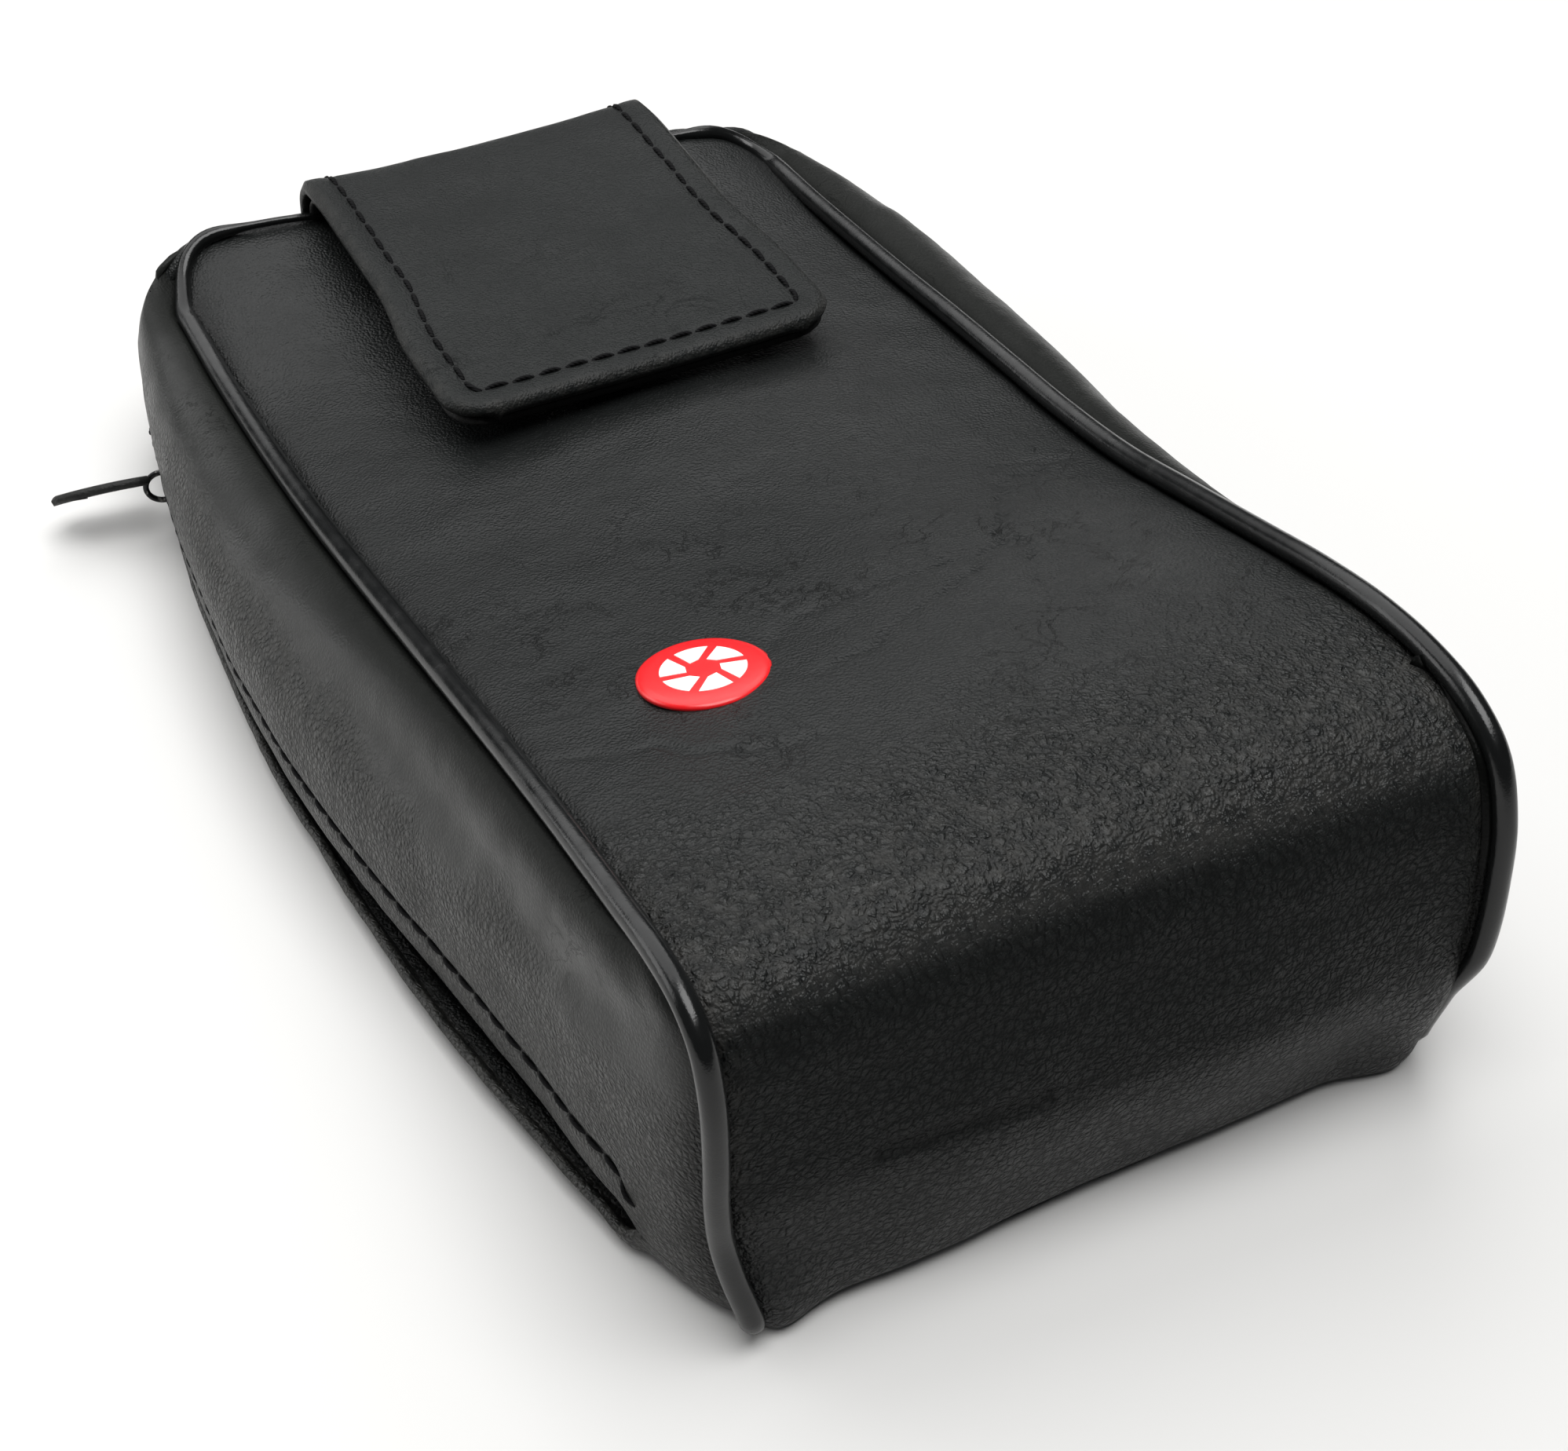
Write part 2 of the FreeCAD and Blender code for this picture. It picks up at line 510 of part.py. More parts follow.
# ---------------------------------------------------------------- boards
def barrel_panel(label, inset, low, thick, end_inset):
    """A flat panel with the bowed outline of the case, as a padded sketch."""
    body = doc.addObject("PartDesign::Body", f"{label}_body")
    plane = next(item for item in body.Origin.OriginFeatures if item.Role == "XY_Plane")
    sketch = body.newObject("Sketcher::SketchObject", f"{label}_outline")
    sketch.AttachmentSupport = [(plane, "")]
    sketch.MapMode = "FlatFace"
    end = f"(dims.case_length / 2 - {end_inset})"
    edge = WIDEST.format(y="({y})", inset=inset)
    top_half = evaluate(edge.format(y=end))
    base_half = evaluate(edge.format(y=f"-{end}"))
    waist = evaluate(edge.format(y="dims.bow_centre"))
    reach = evaluate(end)
    middle = size("bow_centre")
    corners = [FreeCAD.Vector(across, along, 0) for across, along in
               ((-base_half, -reach), (base_half, -reach), (top_half, reach), (-top_half, reach))]
    lines = [sketch.addGeometry(Part.LineSegment(corners[0], corners[1])),
             sketch.addGeometry(Part.LineSegment(corners[2], corners[3]))]
    arcs = [sketch.addGeometry(Part.Arc(corners[1], FreeCAD.Vector(waist, middle, 0), corners[2])),
            sketch.addGeometry(Part.Arc(corners[3], FreeCAD.Vector(-waist, middle, 0), corners[0]))]
    sketch.addConstraint([
        Sketcher.Constraint("Coincident", lines[0], 2, arcs[0], 1),
        Sketcher.Constraint("Coincident", arcs[0], 2, lines[1], 1),
        Sketcher.Constraint("Coincident", lines[1], 2, arcs[1], 1),
        Sketcher.Constraint("Coincident", arcs[1], 2, lines[0], 1),
        Sketcher.Constraint("Symmetric", lines[0], 1, lines[0], 2, V_AXIS),
        Sketcher.Constraint("Symmetric", lines[1], 1, lines[1], 2, V_AXIS),
    ])
    drives = (("DistanceX", lines[0], 1, lines[0], 2, f"2 * {edge.format(y=f'-{end}')}"),
              ("DistanceX", lines[1], 2, lines[1], 1, f"2 * {edge.format(y=end)}"),
              ("DistanceY", *ORIGIN_POINT, lines[1], 1, end),
              ("DistanceY", lines[0], 1, *ORIGIN_POINT, end))
    for kind, first, first_end, second, second_end, expression in drives:
        index = sketch.addConstraint(Sketcher.Constraint(
            kind, first, first_end, second, second_end, evaluate(expression)))
        sketch.setExpression(f"Constraints[{index}]", expression)
    for arc in arcs:
        index = sketch.addConstraint(Sketcher.Constraint(
            "Radius", arc, size("bow_radius") - evaluate(inset)))
        sketch.setExpression(f"Constraints[{index}]", f"dims.bow_radius - {inset}")
    pad = body.newObject("PartDesign::Pad", f"{label}_pad")
    pad.Profile = sketch
    pad.setExpression("Length", thick)
    body.setExpression("Placement.Base.z", low)
    return keep(body, label)


wall_depth = "(dims.leather + dims.padding + dims.lining)"
barrel_panel("divider_rear_lining", "dims.divider_inset", "dims.divider_height",
             "dims.divider_cloth", wall_depth)
barrel_panel("divider_board", "dims.divider_inset", "dims.divider_height + dims.divider_cloth",
             "dims.divider_board", wall_depth)
barrel_panel("divider_front_lining", "dims.divider_inset",
             "dims.divider_height + dims.divider_cloth + dims.divider_board",
             "dims.divider_cloth", wall_depth)
keep(box("back_board_box", "2 * dims.back_board_half", f"dims.case_length - 2 * {wall_depth}",
         "dims.divider_board", "-dims.back_board_half",
         f"-dims.case_length / 2 + {wall_depth}", "dims.leather"), "back_board")
keep(box("back_lining_box", "2 * dims.back_board_half", f"dims.case_length - 2 * {wall_depth}",
         "dims.divider_cloth", "-dims.back_board_half",
         f"-dims.case_length / 2 + {wall_depth}", "dims.leather + dims.divider_board"), "back_lining")

# ---------------------------------------------------------------- mouth
rim_low = "(dims.mouth_height - dims.leather - dims.padding - dims.lining)"
rim = box("mouth_rim_box", "2 * dims.panel_half", "dims.rim_depth", f"dims.mouth_height - {rim_low}",
          "-dims.panel_half", "dims.case_length / 2", rim_low)
for word, rod in piping_rods.items():
    rim = cut(f"mouth_rim_{word}", rim, rod)
keep(rim, "mouth_rim")
roll = doc.addObject("Part::Cylinder", "hinge_roll")
roll.Placement = FreeCAD.Placement(FreeCAD.Vector(), FreeCAD.Rotation(Y, 90))
bind(roll, Radius="dims.hinge_roll", Height="dims.flap_width",
     Placement__Base__x="dims.flap_shift - dims.flap_width / 2",
     Placement__Base__y="dims.hinge_y", Placement__Base__z="dims.hinge_roll")
keep(roll, "flap_hinge_roll")
keep(box("flap_root_box", "dims.flap_width", "dims.hinge_y - dims.hinge_roll - dims.case_length / 2",
         "dims.leather", "dims.flap_shift - dims.flap_width / 2", "dims.case_length / 2", "0"),
     "flap_root_leather")


# ---------------------------------------------------------------- flap
def flap_layer(label, depth, thick, end_inset="0"):
    """One layer of the flap: up behind the mouth, round the bend and along the front."""
    body = doc.addObject("PartDesign::Body", f"{label}_body")
    plane = next(item for item in body.Origin.OriginFeatures if item.Role == "YZ_Plane")
    sketch = body.newObject("Sketcher::SketchObject", f"{label}_profile")
    sketch.AttachmentSupport = [(plane, "")]
    sketch.MapMode = "FlatFace"
    back, top, bend = size("flap_back"), size("flap_top"), size("flap_bend")
    root, tip = size("flap_root"), size("flap_tip") + evaluate(end_inset)

    def chain(inset):
        """Root, bend start, bend middle, bend end and tip of a line at one depth."""
        centre = FreeCAD.Vector(back - bend, top - bend, 0)
        radius = bend - inset
        half = math.sqrt(0.5) * radius
        return (FreeCAD.Vector(back - inset, root, 0), centre + X * radius,
                centre + FreeCAD.Vector(half, half, 0), centre + Y * radius,
                FreeCAD.Vector(tip, top - inset, 0))

    outside = chain(evaluate(depth))
    inside = chain(evaluate(depth) + evaluate(thick))
    riser = sketch.addGeometry(Part.LineSegment(outside[0], outside[1]))
    bend_out = sketch.addGeometry(Part.Arc(outside[1], outside[2], outside[3]))
    run = sketch.addGeometry(Part.LineSegment(outside[3], outside[4]))
    end = sketch.addGeometry(Part.LineSegment(outside[4], inside[4]))
    run_in = sketch.addGeometry(Part.LineSegment(inside[4], inside[3]))
    bend_in = sketch.addGeometry(Part.Arc(inside[1], inside[2], inside[3]))
    riser_in = sketch.addGeometry(Part.LineSegment(inside[1], inside[0]))
    start = sketch.addGeometry(Part.LineSegment(inside[0], outside[0]))
    sketch.addConstraint([
        Sketcher.Constraint("Tangent", riser, 2, bend_out, 1),
        Sketcher.Constraint("Tangent", bend_out, 2, run, 1),
        Sketcher.Constraint("Coincident", run, 2, end, 1),
        Sketcher.Constraint("Coincident", end, 2, run_in, 1),
        Sketcher.Constraint("Tangent", run_in, 2, bend_in, 2),
        Sketcher.Constraint("Tangent", bend_in, 1, riser_in, 1),
        Sketcher.Constraint("Coincident", riser_in, 2, start, 1),
        Sketcher.Constraint("Coincident", start, 2, riser, 1),
        Sketcher.Constraint("Coincident", bend_out, 3, bend_in, 3),
        Sketcher.Constraint("Vertical", riser),
        Sketcher.Constraint("Vertical", end),
        Sketcher.Constraint("Horizontal", run),
        Sketcher.Constraint("Horizontal", start),
    ])
    drives = (("DistanceX", *ORIGIN_POINT, riser, 1, f"dims.flap_back - {depth}"),
              ("DistanceY", *ORIGIN_POINT, riser, 1, "dims.flap_root"),
              ("DistanceX", *ORIGIN_POINT, bend_out, 3, "dims.flap_back - dims.flap_bend"),
              ("DistanceY", *ORIGIN_POINT, bend_out, 3, "dims.flap_top - dims.flap_bend"),
              ("DistanceX", *ORIGIN_POINT, end, 1, f"dims.flap_tip + {end_inset}"),
              ("DistanceX", riser_in, 2, riser, 1, thick),
              ("DistanceY", end, 2, end, 1, thick))
    for kind, first, first_end, second, second_end, expression in drives:
        index = sketch.addConstraint(Sketcher.Constraint(
            kind, first, first_end, second, second_end, evaluate(expression)))
        sketch.setExpression(f"Constraints[{index}]", expression)
    pad = body.newObject("PartDesign::Pad", f"{label}_pad")
    pad.Profile = sketch
    pad.Midplane = True
    pad.setExpression("Length", f"dims.flap_width - 2 * {end_inset}")
    doc.recompute()
    corners = [f"Edge{number}" for number, edge in enumerate(pad.Shape.Edges, start=1)
               if abs(edge.BoundBox.YMax - tip) < 1e-6 and edge.BoundBox.ZLength > 0.5 * evaluate(thick)]
    fillet = body.newObject("PartDesign::Fillet", f"{label}_corners")
    fillet.Base = (pad, corners)
    fillet.setExpression("Radius", f"dims.flap_corner - {end_inset}")
    body.setExpression("Placement.Base.x", "dims.flap_shift")
    return body


outer_layer = flap_layer("flap_outer_leather", "0", "dims.flap_leather")
keep(outer_layer, "flap_outer_leather")
core = flap_layer("flap_core", "dims.flap_leather", "dims.flap_core")
keep(flap_layer("flap_lining", "(dims.flap_leather + dims.flap_core)", "dims.flap_backing"), "flap_lining")
magnet_top = "dims.flap_top - dims.flap_leather - dims.flap_core - dims.flap_backing"
magnet_washer = cylinder("magnet_washer", "dims.closure_washer", "dims.flap_core", "dims.flap_shift",
                         "dims.closure_y", "dims.flap_top - dims.flap_leather - dims.flap_core")
keep(cut("flap_core_cut", core, magnet_washer), "flap_stiffener")
keep(magnet_washer, "closure_magnet_washer")
keep(cylinder("magnet", "dims.closure_radius", "dims.closure_magnet", "dims.flap_shift",
              "dims.closure_y", f"{magnet_top} - dims.closure_magnet"), "closure_magnet")
thread_outside = flap_layer("thread_outside", "(-dims.thread_rise)", "dims.thread_rise", "dims.stitch_inset")
thread_inside = flap_layer("thread_inside", "(-dims.thread_rise)", "dims.thread_rise",
                           "(dims.stitch_inset + dims.thread)")
keep(cut("flap_thread", thread_outside, thread_inside), "flap_stitching")

# ---------------------------------------------------------------- zip
coil_top_y = "(dims.slit_top_y - dims.coil_inset)"
coil_base_y = "(dims.slit_base_y + dims.coil_inset)"
keep(track_coil("upper_coil", "dims.coil_high", coil_top_y, coil_base_y), "upper_zip_coil")
keep(track_coil("lower_coil", "dims.coil_low", coil_top_y, coil_base_y), "lower_zip_coil")
keep(track_wall("upper_tape", TRACK_RADIUS, "dims.tape", "dims.coil_high + dims.coil_radius",
                "dims.hem_height - dims.coil_high - dims.coil_radius",
                "dims.slit_top_y", "dims.slit_base_y"), "upper_zip_tape")
keep(track_wall("lower_tape", f"({TRACK_RADIUS} - dims.tape_width / 2)", "dims.tape_width",
                "dims.leather", "dims.coil_low - dims.coil_radius - dims.leather",
                "dims.slit_top_y", "dims.slit_base_y"), "lower_zip_tape")
FACING_RADIUS = "(dims.bow_radius - dims.leather - dims.facing_inset - dims.hem_facing / 2)"
THREAD_RADIUS = "(dims.bow_radius + dims.thread_gap + dims.thread_rise / 2)"
keep(track_wall("facing_raw", FACING_RADIUS, "dims.hem_facing", "dims.slit_high",
                "dims.hem_height - dims.slit_high", "dims.slit_top_y", "dims.slit_base_y"),
     "zip_hem_facing")
keep(track_wall("hem_thread", THREAD_RADIUS, "dims.thread_rise", "dims.hem_stitch", "dims.thread",
                "dims.slit_top_y", "dims.slit_base_y"), "hem_stitching")


def on_track(name, parts, y):
    """Join parts drawn about the track's centre and turn them to their place along it."""
    if len(parts) > 1:
        fused = doc.addObject("Part::MultiFuse", name)
        fused.Shapes = parts
    else:
        fused = doc.addObject("Part::Compound", name)
        fused.Links = parts
    fused.Placement = FreeCAD.Placement(FreeCAD.Vector(), FreeCAD.Rotation(Z, 180))
    turn = track_angle(y)
    bind(fused, Placement__Base__x=TRACK_X, Placement__Base__y="dims.bow_centre",
         Placement__Rotation__Angle=turn)
    return fused


# In these parts X is the distance from the track's centre, and Y runs along the chain.
half_gap = "dims.slider_gap / 2"
slider_height = "dims.slider_high - dims.slider_low"
slider_parts = [
    box("slider_outer_plate", "dims.slider_plate", "dims.slider_length", slider_height,
        f"{TRACK_RADIUS} + {half_gap}", "-dims.slider_length / 2", "dims.slider_low"),
    box("slider_inner_plate", "dims.slider_plate", "dims.slider_length", slider_height,
        f"{TRACK_RADIUS} - {half_gap} - dims.slider_plate", "-dims.slider_length / 2", "dims.slider_low"),
    box("slider_post", "dims.slider_gap", "dims.slider_post", "dims.slider_post",
        f"{TRACK_RADIUS} - {half_gap}", "-dims.slider_length / 2",
        "dims.pull_height - dims.slider_post / 2"),
]
keep(on_track("slider", slider_parts, "dims.slider_rest_y"), "zip_slider_body")
plate_face = f"{TRACK_RADIUS} + {half_gap} + dims.slider_plate"
bar_face = f"{TRACK_RADIUS} + dims.bridge_reach"
foot_length = f"dims.bridge_reach + dims.bridge_bar / 2 - {half_gap} - dims.slider_plate"
bridge_low = "dims.pull_height - dims.bridge_width / 2"
bridge_parts = [
    box("bridge_bar", "dims.bridge_bar", "dims.bridge_span", "dims.bridge_width",
        f"{bar_face} - dims.bridge_bar / 2", "-dims.bridge_span / 2", bridge_low),
    box("bridge_near_foot", foot_length, "dims.bridge_bar", "dims.bridge_width",
        plate_face, "-dims.bridge_span / 2", bridge_low),
    box("bridge_far_foot", foot_length, "dims.bridge_bar", "dims.bridge_width",
        plate_face, "dims.bridge_span / 2 - dims.bridge_bar", bridge_low),
]
keep(on_track("bridge", bridge_parts, "dims.slider_rest_y"), "zip_slider_bridge")

ring = doc.addObject("Part::Torus", "ring")
ring.Placement = FreeCAD.Placement(FreeCAD.Vector(), FreeCAD.Rotation(X, 90))
bind(ring, Radius1="dims.ring_radius", Radius2="dims.ring_wire",
     Placement__Base__x=f"{bar_face} + dims.ring_offset", Placement__Base__z="dims.pull_height")
keep(on_track("pull_ring", [ring], "dims.slider_rest_y"), "zip_pull_ring")


def tilted(name, kind, x, lift, **sizes):
    """A primitive on the tab, tilted about the tab's length."""
    item = doc.addObject(kind, name)
    item.Placement = FreeCAD.Placement(FreeCAD.Vector(), FreeCAD.Rotation(X, size("tab_tilt")))
    across = sizes.pop("across", "0")
    bind(item, Placement__Rotation__Angle="dims.tab_tilt", Placement__Base__x=x,
         Placement__Base__y=f"({across}) * cos(dims.tab_tilt) - ({lift}) * sin(dims.tab_tilt)",
         Placement__Base__z=(f"dims.pull_height + ({across}) * sin(dims.tab_tilt)"
                             f" + ({lift}) * cos(dims.tab_tilt)"), **sizes)
    return item


tab_root = f"{bar_face} + dims.tab_start"
tab_parts = [
    tilted("tab_strip", "Part::Box", tab_root, "-dims.tab_thick / 2", across="-dims.tab_width / 2",
           Length="dims.tab_length - dims.tab_width / 2", Width="dims.tab_width",
           Height="dims.tab_thick"),
    tilted("tab_end", "Part::Cylinder", f"{tab_root} + dims.tab_length - dims.tab_width / 2",
           "-dims.tab_thick / 2", Radius="dims.tab_width / 2", Height="dims.tab_thick"),
]
tab = doc.addObject("Part::MultiFuse", "tab")
tab.Shapes = tab_parts
keep(on_track("pull_tab", [cut("tab_cut", tab, ring)], "dims.slider_rest_y"), "zip_pull_tab")
rivet = tilted("rivet", "Part::Cylinder", f"{tab_root} + dims.tab_length - dims.rivet_back",
               "dims.tab_thick / 2", Radius="dims.rivet_radius", Height="dims.rivet_rise")
keep(on_track("pull_rivet", [rivet], "dims.slider_rest_y"), "zip_pull_rivet")

for label, y in (("zip_top_stop", "(dims.slit_top_y - dims.stop_inset)"),
                 ("zip_bottom_stop", "(dims.slit_base_y + dims.stop_inset)")):
    stop = box(f"{label}_box", "dims.slider_gap", "dims.stop_length",
               "dims.coil_high - dims.coil_low + dims.coil_radius",
               f"{TRACK_RADIUS} - {half_gap}", "-dims.stop_length / 2",
               "dims.coil_low - dims.coil_radius / 2")
    keep(on_track(f"{label}_part", [stop], y), label)

# ---------------------------------------------------------------- check and write
doc.recompute()
for item in doc.Objects:
    faults = {"Invalid", "Error"} & set(item.State)
    if faults:
        raise RuntimeError(f"{item.Label} is left {', '.join(sorted(faults))}")
for item in nodes:
    if item.Shape.isNull() or not item.Shape.isValid():
        raise RuntimeError(f"{item.Label} has no valid shape")
os.makedirs("parts", exist_ok=True)
for item in nodes:
    item.Shape.exportStep(f"parts/{item.Label}.step")
    print(f"{item.Label}: {item.Shape.Volume:.1f} mm3, {len(item.Shape.Solids)} solids")
print(len(nodes), "nodes")
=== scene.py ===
import json
import math

import bpy
import bmesh
import numpy as np
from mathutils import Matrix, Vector


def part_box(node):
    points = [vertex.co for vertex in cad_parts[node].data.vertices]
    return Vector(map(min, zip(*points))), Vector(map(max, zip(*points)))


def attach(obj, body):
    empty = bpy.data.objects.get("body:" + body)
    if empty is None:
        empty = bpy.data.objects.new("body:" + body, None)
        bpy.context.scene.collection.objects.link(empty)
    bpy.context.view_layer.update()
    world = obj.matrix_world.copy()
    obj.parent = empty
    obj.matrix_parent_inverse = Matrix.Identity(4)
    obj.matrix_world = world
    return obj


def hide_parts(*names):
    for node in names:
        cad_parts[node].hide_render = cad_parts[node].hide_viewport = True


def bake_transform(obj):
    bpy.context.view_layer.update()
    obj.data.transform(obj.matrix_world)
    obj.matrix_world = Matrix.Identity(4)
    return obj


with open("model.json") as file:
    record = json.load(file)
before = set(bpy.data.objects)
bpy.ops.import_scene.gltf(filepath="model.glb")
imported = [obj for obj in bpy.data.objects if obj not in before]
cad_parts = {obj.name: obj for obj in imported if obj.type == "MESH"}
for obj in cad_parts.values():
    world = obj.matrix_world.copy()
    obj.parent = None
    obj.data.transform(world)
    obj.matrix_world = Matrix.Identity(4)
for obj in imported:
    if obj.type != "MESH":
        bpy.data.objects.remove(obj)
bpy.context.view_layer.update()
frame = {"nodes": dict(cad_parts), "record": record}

MM = 0.001
ROOT = "root"
FLAP = "flap"
SLIDER = "zip_slider"
PULL = "zip_pull"


# ---------------------------------------------------------------- places from the frame, in mm
def low(node):
    return np.array(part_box(node)[0]) / MM


def high(node):
    return np.array(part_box(node)[1]) / MM


def middle(node):
    return (low(node) + high(node)) / 2


MOUTH_Y = high("front_base_leather")[1]
BASE_Y = low("front_base_leather")[1]
SEAM_X = high("front_base_leather")[0] + 0.5
LEATHER = 1.4
PAD = 1.8
CLOTH = 0.6
PIPE_RADIUS = 1.2
WIDE_Z = 12.0
FLAP_LEFT = low("flap_outer_leather")[0] - 1.4
FLAP_RIGHT = high("flap_outer_leather")[0] + 1.6
FLAP_TIP = low("flap_outer_leather")[1]
BOW_CENTRE = 12.0
BOW_RADIUS = 280.0
HALF_WIDTH = 51.5

# The piping's line on each side as (x, y, z): down the panel, round the base, down to the floor.
LEFT_SEAM = [
    (-38.1, 72.4, 21.5), (-38.1, 65.0, 21.2), (-38.1, 58.0, 21.0), (-38.1, 48.0, 21.4),
    (-38.1, 36.0, 22.4), (-38.1, 24.0, 24.1), (-38.1, 12.0, 26.5), (-38.1, 0.0, 29.1),
    (-38.1, -12.0, 31.8), (-38.1, -24.0, 34.5), (-38.1, -36.0, 36.9), (-38.1, -46.0, 38.6),
    (-38.1, -56.0, 40.0), (-38.1, -63.0, 40.9), (-38.1, -68.0, 40.5), (-38.1, -71.3, 38.4),
    (-38.1, -73.2, 33.5), (-38.1, -73.7, 26.5), (-38.0, -73.4, 20.0), (-37.5, -73.1, 14.5),
    (-36.7, -73.6, 9.6), (-35.7, -74.2, 5.3), (-35.0, -74.2, 1.9), (-34.7, -72.8, -0.1), (-34.5, -70.4, -0.4),
]
RIGHT_SEAM = [
    (38.1, 72.4, 21.4), (38.1, 65.0, 21.9), (38.1, 58.0, 22.5), (38.1, 48.0, 23.6),
    (38.1, 36.0, 25.0), (38.1, 24.0, 26.6), (38.1, 12.0, 28.0), (38.1, 0.0, 29.4),
    (38.1, -12.0, 31.5), (38.1, -24.0, 34.8), (38.1, -36.0, 38.2), (38.1, -46.0, 41.0),
    (38.1, -55.0, 42.8), (38.1, -62.5, 43.2), (38.1, -68.5, 42.3), (38.1, -73.0, 39.6),
    (38.1, -75.6, 34.0), (38.2, -76.4, 27.0), (38.3, -76.4, 20.0), (38.2, -75.6, 14.0),
    (37.8, -74.4, 9.0), (37.3, -73.5, 5.0), (36.8, -73.0, 1.9), (36.4, -71.8, -0.1), (36.2, -70.0, -0.4),
]

# The panel's edge along the mouth, from the left seam round its corners to the right seam.
MOUTH_LINE = np.array([
    (-38.1, 72.4, 21.5), (-37.6, 74.6, 22.2), (-36.8, 76.6, 23.1), (-35.6, 78.1, 24.2), (-34.0, 78.9, 25.1),
    (-32.2, 79.1, 25.6), (-29.6, 78.9, 25.8), (-24.5, 78.4, 25.8), (-18.6, 77.8, 25.4), (0.0, 77.3, 25.3),
    (18.0, 77.2, 24.9), (28.7, 77.0, 24.4), (31.8, 76.9, 24.0), (33.5, 76.8, 23.5), (34.9, 76.4, 22.9),
    (36.4, 75.5, 22.1), (37.4, 74.2, 21.5), (38.1, 72.4, 21.4),
])
CORNER_START = 31.8


# ---------------------------------------------------------------- numbers and curves
def unit(vectors):
    return vectors / np.maximum(np.linalg.norm(vectors, axis=-1, keepdims=True), 1e-9)


def ease(value):
    value = np.clip(value, 0, 1)
    return value * value * (3 - 2 * value)


def bump(distance, width):
    """1 at a distance of zero, falling to nearly 0 at twice the width."""
    return np.exp(-(distance / width) ** 2)


def run_along(points):
    """The distance along a polyline at each of its points."""
    return np.concatenate([[0], np.cumsum(np.linalg.norm(np.diff(points, axis=0), axis=1))])


def picked(points, places, at):
    """A polyline's points at given places, between the places of its own points."""
    return np.stack([np.interp(at, places, points[:, axis]) for axis in range(points.shape[1])], 1)


def spaced(points, count):
    """The points of a polyline at even distances along it."""
    along = run_along(points)
    return picked(points, along, np.linspace(0, along[-1], count))


def curve(points, step=None, count=None):
    """Evenly spaced points on a smooth curve through the given points."""
    points = np.asarray(points, float)
    chord = np.sqrt(np.linalg.norm(np.diff(points, axis=0), axis=1))
    knots = np.concatenate([[0], np.cumsum(chord)])
    slopes = np.gradient(points, knots, axis=0)
    spread = np.linspace(0, 1, 24, endpoint=False)[:, None]
    pieces = []
    for number, span in enumerate(np.diff(knots)):
        start, end = points[number], points[number + 1]
        leave, arrive = slopes[number] * span, slopes[number + 1] * span
        pieces.append((2 * spread ** 3 - 3 * spread ** 2 + 1) * start
                      + (spread ** 3 - 2 * spread ** 2 + spread) * leave
                      + (3 * spread ** 2 - 2 * spread ** 3) * end
                      + (spread ** 3 - spread ** 2) * arrive)
    dense = np.concatenate(pieces + [points[-1:]])
    if count is None:
        count = max(2, round(run_along(dense)[-1] / step) + 1)
    return spaced(dense, count)


def noise_at(points, scale, seed):
    """Smooth noise from -1 to 1 at points in mm, with features about scale mm across."""
    lattice = np.random.default_rng(seed).random((24, 24, 24)) * 2 - 1
    place = np.asarray(points) / scale + 1000
    cell = np.floor(place).astype(int)
    part = place - cell
    part = part * part * (3 - 2 * part)
    total = 0
    for corner in range(8):
        shift = np.array([corner & 1, corner >> 1 & 1, corner >> 2 & 1])
        index = (cell + shift) % 24
        weight = np.prod(np.where(shift, part, 1 - part), axis=-1)
        total = total + weight * lattice[index[..., 0], index[..., 1], index[..., 2]]
    return total


def fractal(points, scale, seed, octaves=3):
    total = 0
    for octave in range(octaves):
        total = total + noise_at(points, scale / 2 ** octave, seed + octave) / 2 ** octave
    return total


def normals_of(grid):
    return unit(np.cross(np.gradient(grid, axis=0), np.gradient(grid, axis=1)))


# ---------------------------------------------------------------- meshes
def mesh_piece(name, points, faces, material, slot, body=ROOT, replaces=(), smooth=True):
    mesh = bpy.data.meshes.new(name)
    mesh.from_pydata((np.asarray(points) * MM).tolist(), [], faces)
    shape = bmesh.new()
    shape.from_mesh(mesh)
    bmesh.ops.recalc_face_normals(shape, faces=shape.faces)
    shape.to_mesh(mesh)
    shape.free()
    mesh.polygons.foreach_set("use_smooth", [smooth] * len(mesh.polygons))
    piece = bpy.data.objects.new(name, mesh)
    bpy.context.scene.collection.objects.link(piece)
    mesh.materials.append(material)
    if body:
        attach(piece, body)
    if replaces:
        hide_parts(*replaces)
    return piece


def mark(piece, **values):
    """Store a number for each vertex, for the materials to read."""
    for name, value in values.items():
        attribute = piece.data.attributes.new(name, "FLOAT", "POINT")
        attribute.data.foreach_set("value", np.asarray(value, np.float32))


def grid_faces(rows, cols, start=0, flip=False):
    index = np.arange(rows * cols).reshape(rows, cols) + start
    quads = np.stack([index[:-1, :-1], index[1:, :-1], index[1:, 1:], index[:-1, 1:]], -1).reshape(-1, 4)
    if flip:
        quads = quads[:, ::-1]
    return quads.tolist()


def border(rows, cols):
    """The grid's border as a loop of indices."""
    index = np.arange(rows * cols).reshape(rows, cols)
    return np.concatenate([index[0, :-1], index[:-1, -1], index[-1, :0:-1], index[:0:-1, 0]])


